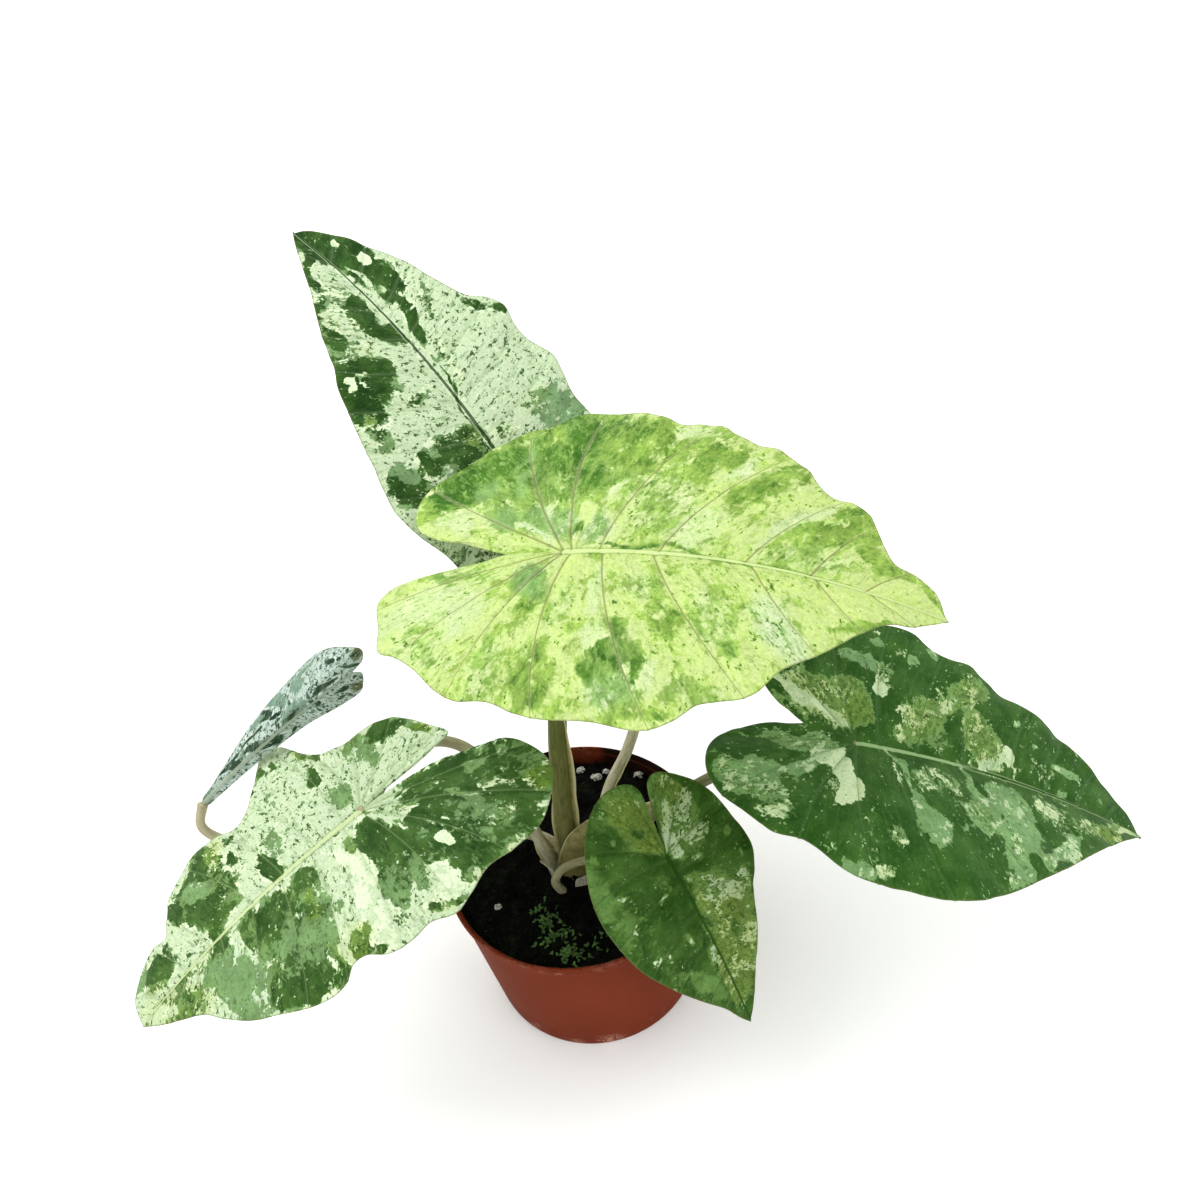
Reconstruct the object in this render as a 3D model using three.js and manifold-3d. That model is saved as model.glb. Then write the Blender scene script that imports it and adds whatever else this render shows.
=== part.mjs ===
// A young variegated elephant ear in its nursery pot: six leaves on long stalks that rise from a short rootstock,
// dark soil with a few grains of perlite, and a tapered plastic pot with drain holes.
// Millimetres, +Z up. The origin is the centre of the pot's flat underside, on the surface that the pot stands on.
// The front of the plant faces -Y, and +X is to its right.
import * as THREE from 'three';
import * as BufferGeometryUtils from 'three/addons/utils/BufferGeometryUtils.js';
import Module from 'manifold-3d';

const wasm = await Module();
wasm.setup();

const CLEARANCE = 0.3;            // gap between neighbouring pieces
const DEGREE = Math.PI / 180;

// Pot
const POT_HEIGHT = 90;
const POT_RIM_RADIUS = 60;
const POT_FOOT_RADIUS = 49;
const POT_WALL = 1.3;
const POT_FLOOR = 2;
const RIM_LIP = 0.9;              // how far the rim band stands out from the wall
const RIM_BAND = 5;
const FOOT_CHAMFER = 1.5;
const POT_SEGMENTS = 48;
const DRAIN_HOLES = 6;
const DRAIN_RADIUS = 4.5;
const DRAIN_CIRCLE = 33;

// Soil
const SOIL_LEVEL = 82;
const SOIL_BUMP = 1.6;
const SOIL_RINGS = 9;
const SOIL_SPOKES = 36;
const SOIL_SEED = 11;

// Rootstock: the short stem that the stalks and the roots grow from
const CROWN_TOP = 82;
const CROWN_RADIUS = 13.5;
const CROWN_CENTRE = [-0.5, -1];
const ROOT_COUNT = 5;
const ROOT_FOOT_RADIUS = 2.2;
const ROOT_TIP_RADIUS = 0.9;
const ROOT_REACH = 36;
const ROOT_DROP = 36;
const ROOT_CLEARANCE = 0.5;       // gap between the rootstock and the soil

// Leaves
const BLADE_HALF = 0.4;           // half the thickness of a leaf blade
const MIDRIB_DEPTH = 1.3;         // how far the midrib stands out under the blade at its stalk
const STALK_GAP = 0.6;            // gap between the stalk's end and the midrib
const STALK_SIDES = 10;
const STALK_STEPS = 18;
const SHEATH_HALF = 0.4;

// Perlite grains that lie in the soil: [x, y, radius]
const PERLITE = [[7, 51, 2], [14, 45, 2.4], [19, 48, 1.8], [34, 42, 2.2], [-38, -18, 1.7]];

// The wing of tissue along the lower part of a stalk: the shares of the route where it starts and ends, how far it
// stands out, and the bearing in degrees that it faces
const WINGS = {
  leaf_crown: { from: 0.02, to: 0.52, width: 7.5, bearing: -20 },
  leaf_back: { from: 0.1, to: 0.32, width: 6, bearing: -62 },
  leaf_right: { from: 0.04, to: 0.32, width: 10, bearing: 118 },
};

// Old leaf bases round the crown, each on a bearing and spread over a part of a turn
const DRY_SCALES = [
  { name: 'dry_scale_left', bearing: 213, spread: 28, height: 20, radius: 12.3, lean: 5 },
  { name: 'dry_scale_front', bearing: 284, spread: 44, height: 13, radius: 12.3, lean: 4 },
];

const terracotta = { color: 0xa8452c, roughness: 0.5, metalness: 0 };
const darkSoil = { color: 0x17120f, roughness: 0.95, metalness: 0 };
const rootBrown = { color: 0xa98d6a, roughness: 0.8, metalness: 0 };
const stalkBeige = { color: 0xb9b184, roughness: 0.5, metalness: 0 };
const perliteWhite = { color: 0xe9e6df, roughness: 0.9, metalness: 0 };
const papery = { color: 0xd9cdb4, roughness: 0.7, metalness: 0 };

// Every leaf is laid out flat first, in millimetres from the point where the stalk meets the blade: x runs along
// the midrib to the tip, y to the leaf's left. left and right go from the tip round each side to the notch.
// arch bends the front part down and lobeArch the rear lobes, fold raises the halves from the midrib and cup bends
// them down again towards the edge. heading, pitch and roll turn the whole blade, and ripples wave its edge.
const LEAVES = [
  {
    name: 'leaf_crown', color: 0xa9c650, joint: [18, 37, 245], heading: -17, pitch: 8, roll: 0,
    arch: 22, lobeArch: 11, fold: [8, 8], cup: [20, 19], ripple: 1.6, ripples: [9, 8], hub: 0,
    tip: [155, -4], notch: [-25, 0.5],
    left: [[151, 5], [143, 12], [131, 16], [125, 23], [119, 36], [111, 42], [101, 42.5], [90, 55], [80, 65],
      [68, 65], [60, 69], [54, 76], [46, 77], [36, 75], [26, 79], [12, 84.5], [-4, 83], [-16, 77], [-30, 76],
      [-41, 65], [-62, 52], [-72, 35], [-71, 22], [-60, 12.5], [-45, 8]],
    right: [[149, -8], [141, -13], [130, -17], [118, -28], [104, -42], [92, -53], [83, -66], [72, -70],
      [64, -74], [56, -83], [46, -87], [28, -85], [10, -86], [-3, -82], [-14, -77], [-27, -77], [-36, -72],
      [-50, -59], [-58, -54], [-66, -51], [-71, -38], [-76, -22], [-72, -15], [-58, -10], [-38, -5]],
    stalk: { foot: 5.1, neck: 3.5, route: [[-1.5, 1, 82], [-2, 9, 112], [1.5, 24, 150], [8, 34, 195],
      [16, 37, 230]] },
  },
  {
    name: 'leaf_back', color: 0x7fae6e, joint: [1, 122, 205], heading: 123, pitch: 42, roll: 9,
    arch: 20, lobeArch: 10, fold: [11, 9], cup: [16, 17], ripple: 1.3, ripples: [7, 8], hub: 0,
    tip: [168, 0.5], notch: [-16, 0],
    left: [[158, 6.5], [146, 13], [132, 20], [118, 28], [102, 36], [88, 42], [78, 48], [66, 51], [52, 55.5],
      [40, 59], [28, 61], [15, 62], [4, 60], [-8, 54], [-22, 50], [-36, 44], [-48, 36], [-55, 23], [-47, 10],
      [-30, 3]],
    right: [[165, -5], [157, -11], [147, -16.5], [137, -19], [128, -24.5], [119, -28.5], [108, -30],
      [97, -34.5], [88, -40.5], [83, -46], [76, -49.5], [61, -48], [44, -53], [24, -51], [8, -52], [-9, -51],
      [-27, -48], [-44, -38], [-52, -24], [-45, -10], [-30, -3]],
    stalk: { foot: 2.9, neck: 2, route: [[7.5, 4.5, 82], [13, 11, 95], [20, 21, 107], [31, 31, 121],
      [36.5, 38, 133], [33, 66, 153], [17, 101, 174], [5, 118, 193]] },
  },
  {
    name: 'leaf_right', color: 0x4e8f3f, joint: [127, -9, 150], heading: -6, pitch: -22, roll: -3,
    arch: 14, lobeArch: 10, fold: [11, 11], cup: [18, 16], ripple: 1.2, ripples: [8, 7], hub: 0,
    tip: [153, -2], notch: [-24, 6],
    left: [[149, 4], [142, 10], [135, 15], [127, 20.5], [117, 28], [105, 36], [93, 41.5], [80, 46.5],
      [70, 52.5], [61, 57.5], [50, 60.5], [41, 64.5], [34, 68.5], [22, 71.5], [6, 70], [-14, 63], [-32, 49],
      [-44, 32], [-38, 20], [-30, 11]],
    right: [[139, -10], [122, -21.5], [104, -34.5], [81, -51.5], [60, -65], [46, -73], [38, -77], [25, -79.5],
      [10, -78], [-5, -78], [-14, -76.5], [-21, -71], [-27, -64], [-34, -59.5], [-47, -58], [-56, -50],
      [-66, -38], [-69.5, -25], [-66, -12], [-57, -3], [-44, 3]],
    stalk: { foot: 3.1, neck: 2.2, route: [[7.5, -6, 82], [17, -3, 92], [38, 3, 106], [64, 7, 120], [97, 0, 137],
      [117, -6, 145]] },
  },
  {
    name: 'leaf_front', color: 0x3f7f36, joint: [40, -30, 120], heading: -62, pitch: -39, roll: -8,
    arch: 23, lobeArch: 11, fold: [4, 7], cup: [19, 17], ripple: 0.7, ripples: [5, 5], hub: 0,
    tip: [84, 1], notch: [-5, 1],
    left: [[77, 5], [70, 9.5], [60, 15.5], [50, 21], [40, 26], [31, 30], [27, 33], [20, 37], [10, 38.5],
      [0, 37], [-14, 33], [-22, 28.5], [-29, 22], [-33, 15], [-31, 9.5], [-18, 5]],
    right: [[79, -3], [71, -8], [61, -17], [50, -26], [30, -38], [9, -42], [-11, -38], [-29, -26], [-37, -12],
      [-36, 0], [-31, 4.5], [-18, 3]],
    stalk: { foot: 2.2, neck: 1.6, route: [[-6, -9, 70], [-8, -13.5, 81], [-10.5, -13.5, 90], [-6, -12.5, 97],
      [4, -12, 100], [22, -19, 108], [35, -27, 116]] },
  },
  {
    name: 'leaf_left', color: 0x8fb477, joint: [-86, -3, 150], heading: -155, pitch: -16, roll: 3,
    arch: 15, lobeArch: 5, fold: [2, 2], cup: [27, 24], ripple: 1.4, ripples: [9, 6], hub: 0,
    tip: [134, 0], notch: [-4, 0],
    left: [[125, 8], [113, 16], [103, 23], [95, 33], [86, 42], [77, 48], [62, 57], [52, 60], [43, 60],
      [36, 56.5], [30, 57], [22, 62.5], [10, 64.5], [0, 64.5], [-10, 67.5], [-20, 64], [-30, 60.5], [-44, 61],
      [-60, 58], [-72, 49], [-77, 37], [-74, 25], [-67, 16], [-43, 5.5], [-22, 2.4]],
    right: [[133, -10], [130, -16], [120, -24], [112, -26], [104, -23.5], [100, -31], [95, -42], [84, -48.5],
      [72, -48], [61, -45.5], [52, -42], [46, -46], [35, -58], [24, -68.5], [17, -66], [9, -53], [0, -41],
      [-11, -36.5], [-24, -38], [-34, -33], [-46, -13], [-50, -5], [-42, -3.2], [-24, -1.5]],
    stalk: { foot: 3, neck: 2.3, route: [[-10, -1.5, 82], [-15.5, 2, 105], [-25, 11, 133], [-40, 22, 150],
      [-53, 26, 153], [-67, 23, 150], [-79, 10, 145]] },
  },
  {
    name: 'leaf_rolled', color: 0xa9c7b6, joint: [-166, 41, 115], heading: -1, pitch: 47, roll: 52,
    arch: 28, lobeArch: 0, fold: [-18, -18], cup: [260, 260], ripple: 0, ripples: [0, 0], hub: 62,
    tip: [102, -7], notch: [0, 0],
    left: [[109.5, -6], [112.5, -2], [108, 4], [99.5, 12], [90, 16], [72, 15], [50, 12], [28, 6.5], [10, 3],
      [1.5, 2]],
    right: [[104.5, -10.5], [101, -16], [96, -20], [86, -17], [72, -11], [50, -7], [28, -4.5], [10, -3], [1.5, -2]],
    stalk: { foot: 2.8, neck: 2.2, route: [[-6, 8, 82], [-17, 12, 91], [-55, 22, 97], [-105, 30, 98],
      [-148, 29, 96], [-163, 33, 98], [-169.5, 37, 105]] },
  },
];

// A number from 0 to 1 that depends on a whole number alone
function hash(n) {
  let t = Math.imul(n + SOIL_SEED * 7919, 0x9e3779b1) >>> 0;
  t = Math.imul(t ^ (t >>> 15), 0x85ebca6b) >>> 0;
  t = Math.imul(t ^ (t >>> 13), 0xc2b2ae35) >>> 0;
  return ((t ^ (t >>> 16)) >>> 0) / 4294967296;
}

function mesh(name, geometry, finish) {
  geometry.computeVertexNormals();
  const piece = new THREE.Mesh(geometry, new THREE.MeshStandardMaterial(finish));
  piece.name = name;
  return piece;
}

function indexed(vertices, triangles) {
  const geometry = new THREE.BufferGeometry();
  const flat = new Float32Array(vertices.length * 3);
  vertices.forEach((v, i) => flat.set([v.x, v.y, v.z], i * 3));
  geometry.setAttribute('position', new THREE.BufferAttribute(flat, 3));
  geometry.setIndex(triangles.flat());
  return geometry;
}

function toSolid(geometry) {
  const bare = geometry.clone();
  bare.deleteAttribute('normal');
  bare.deleteAttribute('uv');
  const merged = BufferGeometryUtils.mergeVertices(bare, 1e-4);
  return new wasm.Manifold(new wasm.Mesh({
    numProp: 3,
    vertProperties: new Float32Array(merged.attributes.position.array),
    triVerts: new Uint32Array(merged.index.array),
  }));
}

function toGeometry(solid) {
  const result = solid.getMesh();
  const geometry = new THREE.BufferGeometry();
  geometry.setAttribute('position', new THREE.BufferAttribute(new Float32Array(result.vertProperties), 3));
  geometry.setIndex(new THREE.BufferAttribute(new Uint32Array(result.triVerts), 1));
  return geometry;
}

function turned(profile, segments) {
  const points = profile.map(([radius, z]) => new THREE.Vector2(radius, z));
  return new THREE.LatheGeometry(points, segments).rotateX(Math.PI / 2);
}

function cylinder(radius, bottom, top, x, y, segments = 24) {
  return new THREE.CylinderGeometry(radius, radius, top - bottom, segments)
    .rotateX(Math.PI / 2).translate(x, y, (top + bottom) / 2);
}

// A closed tube through the route. Its radius goes from foot to neck, grown all round and at its end by grow. Its
// last ring faces along lastNormal where one is given.
function taperedTube(route, foot, neck, options = {}) {
  const { grow = 0, lastNormal = null, steps = STALK_STEPS, sides = STALK_SIDES } = options;
  const curve = new THREE.CatmullRomCurve3(route.map((p) => new THREE.Vector3(...p)), false, 'centripetal');
  const frames = curve.computeFrenetFrames(steps, false);
  const vertices = [];
  for (let i = 0; i <= steps; i += 1) {
    const centre = curve.getPointAt(i / steps);
    centre.addScaledVector(frames.tangents[i], i === steps ? grow : 0);
    const radius = THREE.MathUtils.lerp(foot, neck, (i / steps) ** 0.7) + grow;
    const across = frames.normals[i].clone();
    const beside = frames.binormals[i].clone();
    if (i === steps && lastNormal) {
      across.addScaledVector(lastNormal, -across.dot(lastNormal)).normalize();
      const facing = frames.tangents[i].dot(lastNormal) > 0 ? lastNormal : lastNormal.clone().negate();
      beside.copy(facing).cross(across);
    }
    for (let j = 0; j < sides; j += 1) {
      const angle = (2 * Math.PI * j) / sides;
      vertices.push(centre.clone().addScaledVector(across, radius * Math.cos(angle))
        .addScaledVector(beside, radius * Math.sin(angle)));
    }
  }
  const triangles = [];
  for (let i = 0; i < steps; i += 1) {
    for (let j = 0; j < sides; j += 1) {
      const a = i * sides + j;
      const b = i * sides + ((j + 1) % sides);
      triangles.push([a, b, b + sides], [a, b + sides, a + sides]);
    }
  }
  for (let j = 1; j < sides - 1; j += 1) {
    triangles.push([0, j + 1, j], [steps * sides, steps * sides + j, steps * sides + j + 1]);
  }
  return indexed(vertices, triangles);
}

// Follows an arc that starts at slope and bends by bend radians a millimetre
function arc(length, slope, bend) {
  const end = slope + bend * length;
  if (Math.abs(bend) < 1e-7) {
    return { along: length * Math.cos(slope), rise: length * Math.sin(slope), end };
  }
  return {
    along: (Math.sin(end) - Math.sin(slope)) / bend,
    rise: (Math.cos(slope) - Math.cos(end)) / bend,
    end,
  };
}

// The blade's own axes: x along the midrib, y to its left, z out of its upper face
function bladeAxes({ heading, pitch, roll }) {
  const h = heading * DEGREE;
  const p = pitch * DEGREE;
  const r = roll * DEGREE;
  const x = new THREE.Vector3(Math.cos(h) * Math.cos(p), Math.sin(h) * Math.cos(p), Math.sin(p));
  const level = new THREE.Vector3(-Math.sin(h), Math.cos(h), 0);
  const upright = new THREE.Vector3().crossVectors(x, level);
  const y = level.multiplyScalar(Math.cos(r)).addScaledVector(upright, Math.sin(r));
  return { x, y, z: new THREE.Vector3().crossVectors(x, y) };
}

// Bends a point of the flat layout, lift millimetres above it, into the leaf's place on the plant
function bladePoint(leaf, axes, x, y, lift) {
  const bend = -(x >= 0 ? leaf.arch : leaf.lobeArch) * DEGREE / 100;
  const side = y >= 0 ? 0 : 1;
  const spine = arc(x, 0, bend);
  const half = arc(Math.abs(y), leaf.fold[side] * DEGREE, -leaf.cup[side] * DEGREE / 100);
  const rise = half.rise + lift * Math.cos(half.end);
  const aside = half.along - lift * Math.sin(half.end);
  const along = spine.along - rise * Math.sin(spine.end);
  const up = spine.rise + rise * Math.cos(spine.end);
  return new THREE.Vector3(...leaf.joint)
    .addScaledVector(axes.x, along)
    .addScaledVector(axes.y, y >= 0 ? aside : -aside)
    .addScaledVector(axes.z, up);
}

// Points round one side of the flat outline, evenly spaced from the tip to the notch
function sideOutline(leaf, side, count) {
  const flat = [leaf.tip, ...leaf[side], leaf.notch].map(([x, y]) => new THREE.Vector3(x, y, 0));
  return new THREE.CatmullRomCurve3(flat, false, 'centripetal').getSpacedPoints(count);
}

// A blade is a disc of rings round its hub. The two inner rings have half as many points as the outer ones.
function blade(leaf, pointsPerSide) {
  const axes = bladeAxes(leaf);
  const left = sideOutline(leaf, 'left', pointsPerSide);
  const right = sideOutline(leaf, 'right', pointsPerSide);
  const rim = [];
  left.forEach((p, i) => rim.push({ p, t: i / pointsPerSide, side: 0 }));
  for (let i = pointsPerSide - 1; i > 0; i -= 1) {
    rim.push({ p: right[i], t: i / pointsPerSide, side: 1 });
  }
  const spokes = rim.length;
  const rings = [0.34, 0.62, 0.84, 1];
  const coarse = [true, true, false, false];
  const faces = [[], []];
  const starts = [1];
  const place = (x, y, wave, ridge) => {
    faces[0].push(bladePoint(leaf, axes, x, y, wave + BLADE_HALF));
    faces[1].push(bladePoint(leaf, axes, x, y, wave - BLADE_HALF - ridge));
  };
  place(leaf.hub, 0, 0, MIDRIB_DEPTH);
  rings.forEach((s, ring) => {
    for (let k = 0; k < spokes; k += coarse[ring] ? 2 : 1) {
      const { p, t, side } = rim[k];
      const x = leaf.hub + s * (p.x - leaf.hub);
      const wave = leaf.ripple * s ** 3 * Math.sin(Math.PI * t)
        * Math.sin(2 * Math.PI * (leaf.ripples[side] * t + 0.3 * side));
      place(x, s * p.y, wave, k === 0 ? MIDRIB_DEPTH * (1 - s) : 0);
    }
    starts.push(faces[0].length);
  });
  const upper = [];
  const half = spokes / 2;
  for (let k = 0; k < half; k += 1) {
    const next = (k + 1) % half;
    const [a, b] = [starts[0] + k, starts[0] + next];
    const [c, d] = [starts[1] + k, starts[1] + next];
    const [e, f, g] = [starts[2] + 2 * k, starts[2] + 2 * k + 1, starts[2] + ((2 * k + 2) % spokes)];
    upper.push([0, a, b], [a, c, d], [a, d, b], [c, e, f], [c, f, d], [f, g, d]);
  }
  for (let k = 0; k < spokes; k += 1) {
    const next = (k + 1) % spokes;
    const [a, b, c, d] = [starts[2] + k, starts[2] + next, starts[3] + k, starts[3] + next];
    upper.push([a, c, d], [a, d, b]);
  }
  const count = faces[0].length;
  const triangles = [...upper];
  upper.forEach(([a, b, c]) => triangles.push([a + count, c + count, b + count]));
  for (let k = 0; k < spokes; k += 1) {
    const a = starts[3] + k;
    const b = starts[3] + ((k + 1) % spokes);
    triangles.push([a, a + count, b + count], [a, b + count, b]);
  }
  return indexed([...faces[0], ...faces[1]], triangles);
}

// A closed sheet of even thickness over a surface given by place(u, v), with u and v from 0 to 1
function sheet(place, columns, rows, halfThickness) {
  const front = [];
  const back = [];
  const step = 1e-3;
  for (let i = 0; i <= rows; i += 1) {
    for (let j = 0; j <= columns; j += 1) {
      const u = j / columns;
      const v = i / rows;
      const at = place(u, v);
      const alongU = place(u + step, v).sub(place(u - step, v));
      const alongV = place(u, v + step).sub(place(u, v - step));
      const normal = alongU.cross(alongV).normalize();
      front.push(at.clone().addScaledVector(normal, halfThickness));
      back.push(at.clone().addScaledVector(normal, -halfThickness));
    }
  }
  const count = front.length;
  const triangles = [];
  const quad = (a, b, c, d) => triangles.push([a, b, c], [a, c, d]);
  const at = (i, j) => i * (columns + 1) + j;
  for (let i = 0; i < rows; i += 1) {
    for (let j = 0; j < columns; j += 1) {
      const [a, b, c, d] = [at(i, j), at(i, j + 1), at(i + 1, j + 1), at(i + 1, j)];
      triangles.push([a, b, c], [a, c, d]);
      triangles.push([a + count, c + count, b + count], [a + count, d + count, c + count]);
    }
  }
  for (let j = 0; j < columns; j += 1) {
    quad(at(0, j), at(0, j) + count, at(0, j + 1) + count, at(0, j + 1));
    quad(at(rows, j + 1), at(rows, j + 1) + count, at(rows, j) + count, at(rows, j));
  }
  for (let i = 0; i < rows; i += 1) {
    quad(at(i + 1, 0), at(i + 1, 0) + count, at(i, 0) + count, at(i, 0));
    quad(at(i, columns), at(i, columns) + count, at(i + 1, columns) + count, at(i + 1, columns));
  }
  return indexed([...front, ...back], triangles);
}

// The wing of tissue along the lower part of a stalk: it starts inside the stalk and stands out to one side
function stalkWing(route, { from, to, width, bearing }) {
  const curve = new THREE.CatmullRomCurve3(route.map((p) => new THREE.Vector3(...p)), false, 'centripetal');
  const outward = new THREE.Vector3(Math.cos(bearing * DEGREE), Math.sin(bearing * DEGREE), 0);
  return sheet((u, v) => {
    const centre = curve.getPointAt(THREE.MathUtils.clamp(THREE.MathUtils.lerp(from, to, v), 0, 1));
    const reach = 0.6 + u * width * Math.sin(Math.PI * THREE.MathUtils.clamp(0.12 + 0.84 * v, 0, 1)) ** 0.7;
    const curl = new THREE.Vector3(-outward.y, outward.x, 0).multiplyScalar(-0.25 * u * u * width);
    return centre.addScaledVector(outward, reach).add(curl);
  }, 4, 8, SHEATH_HALF);
}

function rootstock(grow) {
  const [cx, cy] = CROWN_CENTRE;
  const profile = [[0, 32 - grow], [6, 33 - grow], [11 + grow, 39], [14 + grow, 48], [15.2 + grow, 58],
    [14.6 + grow, 68], [CROWN_RADIUS + grow, 76], [CROWN_RADIUS - 0.6 + grow, CROWN_TOP - 1 + grow],
    [CROWN_RADIUS - 2, CROWN_TOP + grow], [0, CROWN_TOP + grow]];
  let solid = toSolid(turned(profile, 20).translate(cx, cy, 0));
  for (let i = 0; i < ROOT_COUNT; i += 1) {
    const bearing = ((i + 0.35 * hash(i)) / ROOT_COUNT) * 2 * Math.PI;
    const top = 44 + 16 * hash(i + 20);
    const reach = ROOT_REACH * (0.8 + 0.25 * hash(i + 40));
    const drop = ROOT_DROP * (0.6 + 0.3 * hash(i + 60));
    const route = [0.2, 0.5, 0.8, 1].map((f, k) => [
      cx + Math.cos(bearing + 0.25 * (hash(i * 5 + k) - 0.5)) * (4 + reach * f),
      cy + Math.sin(bearing + 0.25 * (hash(i * 5 + k) - 0.5)) * (4 + reach * f),
      top - drop * f * f,
    ]);
    const root = taperedTube(route, ROOT_FOOT_RADIUS, ROOT_TIP_RADIUS, { grow, steps: 6, sides: 6 });
    solid = solid.add(toSolid(root));
  }
  return solid;
}

function potWallRadius(z) {
  return THREE.MathUtils.lerp(POT_FOOT_RADIUS, POT_RIM_RADIUS - RIM_LIP, z / POT_HEIGHT);
}

function pot() {
  const bandBottom = POT_HEIGHT - RIM_BAND;
  const profile = [[0, 0], [POT_FOOT_RADIUS - FOOT_CHAMFER, 0], [potWallRadius(FOOT_CHAMFER), FOOT_CHAMFER],
    [potWallRadius(bandBottom), bandBottom], [POT_RIM_RADIUS - 0.3, bandBottom + RIM_LIP],
    [POT_RIM_RADIUS, POT_HEIGHT - 0.5], [POT_RIM_RADIUS - 0.5, POT_HEIGHT],
    [potWallRadius(POT_HEIGHT) - POT_WALL, POT_HEIGHT], [potWallRadius(POT_FLOOR) - POT_WALL, POT_FLOOR],
    [0, POT_FLOOR]];
  let solid = toSolid(turned(profile, POT_SEGMENTS));
  for (let i = 0; i < DRAIN_HOLES; i += 1) {
    const angle = ((i + 0.5) / DRAIN_HOLES) * 2 * Math.PI;
    const hole = cylinder(DRAIN_RADIUS, -1, POT_FLOOR + 1, DRAIN_CIRCLE * Math.cos(angle),
      DRAIN_CIRCLE * Math.sin(angle));
    solid = solid.subtract(toSolid(hole));
  }
  return toGeometry(solid);
}

function soilHeight(radius, angle) {
  const x = radius * Math.cos(angle);
  const y = radius * Math.sin(angle);
  const lumps = Math.sin(0.21 * x + 1.3) * Math.cos(0.17 * y - 0.6) + 0.7 * Math.sin(0.33 * y + 0.12 * x)
    + 0.6 * Math.cos(0.47 * x - 0.31 * y + 2);
  return SOIL_LEVEL + 0.5 * SOIL_BUMP * lumps;
}

// The soil fills the pot. Its top is a lumpy surface on rings, each point raised a little more at random.
function soilBlock() {
  const wall = (z) => (potWallRadius(z) - POT_WALL) * Math.cos(Math.PI / POT_SEGMENTS) - CLEARANCE;
  const bottom = POT_FLOOR + CLEARANCE;
  const vertices = [new THREE.Vector3(0, 0, soilHeight(0, 0)), new THREE.Vector3(0, 0, bottom)];
  const ringStart = [];
  for (let ring = 1; ring <= SOIL_RINGS; ring += 1) {
    ringStart.push(vertices.length);
    for (let k = 0; k < SOIL_SPOKES; k += 1) {
      const angle = (2 * Math.PI * k) / SOIL_SPOKES;
      const edge = ring === SOIL_RINGS;
      const radius = wall(SOIL_LEVEL - 1.5) * (ring / SOIL_RINGS);
      const grain = SOIL_BUMP * (hash(ring * SOIL_SPOKES + k) - 0.5);
      const z = edge ? SOIL_LEVEL - 1.5 : soilHeight(radius, angle) + grain;
      vertices.push(new THREE.Vector3(radius * Math.cos(angle), radius * Math.sin(angle), z));
    }
  }
  ringStart.push(vertices.length);
  for (let k = 0; k < SOIL_SPOKES; k += 1) {
    const angle = (2 * Math.PI * k) / SOIL_SPOKES;
    vertices.push(new THREE.Vector3(wall(bottom) * Math.cos(angle), wall(bottom) * Math.sin(angle), bottom));
  }
  const triangles = [];
  for (let k = 0; k < SOIL_SPOKES; k += 1) {
    const next = (k + 1) % SOIL_SPOKES;
    triangles.push([0, ringStart[0] + k, ringStart[0] + next]);
    triangles.push([1, ringStart[SOIL_RINGS] + next, ringStart[SOIL_RINGS] + k]);
    for (let ring = 0; ring < SOIL_RINGS; ring += 1) {
      const [a, b] = [ringStart[ring] + k, ringStart[ring] + next];
      const [c, d] = [ringStart[ring + 1] + k, ringStart[ring + 1] + next];
      triangles.push([a, c, d], [a, d, b]);
    }
  }
  return indexed(vertices, triangles);
}

function perliteGrain([x, y, radius], index, grow) {
  const size = radius + grow;
  const grain = new THREE.IcosahedronGeometry(size, 1)
    .scale(1, 0.8 + 0.2 * hash(index + 90), 0.75)
    .rotateZ(6 * hash(index + 95));
  return grain.translate(x, y, soilHeight(Math.hypot(x, y), Math.atan2(y, x)) + 0.35 * radius);
}

// An old leaf base: a thin curved scale on the crown's edge that leans outward and ends in a blunt point
function dryScale({ bearing, spread, height, radius, lean }) {
  const [cx, cy] = CROWN_CENTRE;
  return sheet((u, v) => {
    const narrowing = 1 - 0.75 * v * v;
    const angle = (bearing + spread * (u - 0.5) * narrowing) * DEGREE;
    const out = radius + lean * v * v;
    return new THREE.Vector3(cx + out * Math.cos(angle), cy + out * Math.sin(angle),
      CROWN_TOP + CLEARANCE + 0.4 + height * v);
  }, 8, 5, SHEATH_HALF);
}

// The stalk ends a little under the blade, or for the rolled leaf just behind its narrow foot
function stalkSolid(leaf, grow = 0) {
  const axes = bladeAxes(leaf);
  const joint = new THREE.Vector3(...leaf.joint);
  const rolled = leaf.hub > 0;
  const lastNormal = rolled ? axes.x : axes.z;
  const distance = rolled ? CLEARANCE : BLADE_HALF + MIDRIB_DEPTH + STALK_GAP;
  const end = joint.addScaledVector(lastNormal, -distance);
  const route = [...leaf.stalk.route, end.toArray()];
  return toSolid(taperedTube(route, leaf.stalk.foot, leaf.stalk.neck, { grow, lastNormal }));
}

const plant = new THREE.Group();
plant.add(mesh('pot', pot(), terracotta));

const clearOfRootstock = rootstock(CLEARANCE);
plant.add(mesh('rootstock', toGeometry(rootstock(0)), rootBrown));

let soil = toSolid(soilBlock()).subtract(rootstock(ROOT_CLEARANCE))
  .subtract(toSolid(cylinder(CROWN_RADIUS + ROOT_CLEARANCE, 70, SOIL_LEVEL + 20, ...CROWN_CENTRE, 20)));

const stalks = new Map();
LEAVES.forEach((leaf) => {
  let stalk = stalkSolid(leaf);
  const wing = WINGS[leaf.name];
  if (wing) {
    stalk = stalk.add(toSolid(stalkWing(leaf.stalk.route, wing)));
  }
  stalks.set(leaf.name, stalk.subtract(clearOfRootstock));
  soil = soil.subtract(stalkSolid(leaf, CLEARANCE));
});

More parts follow.
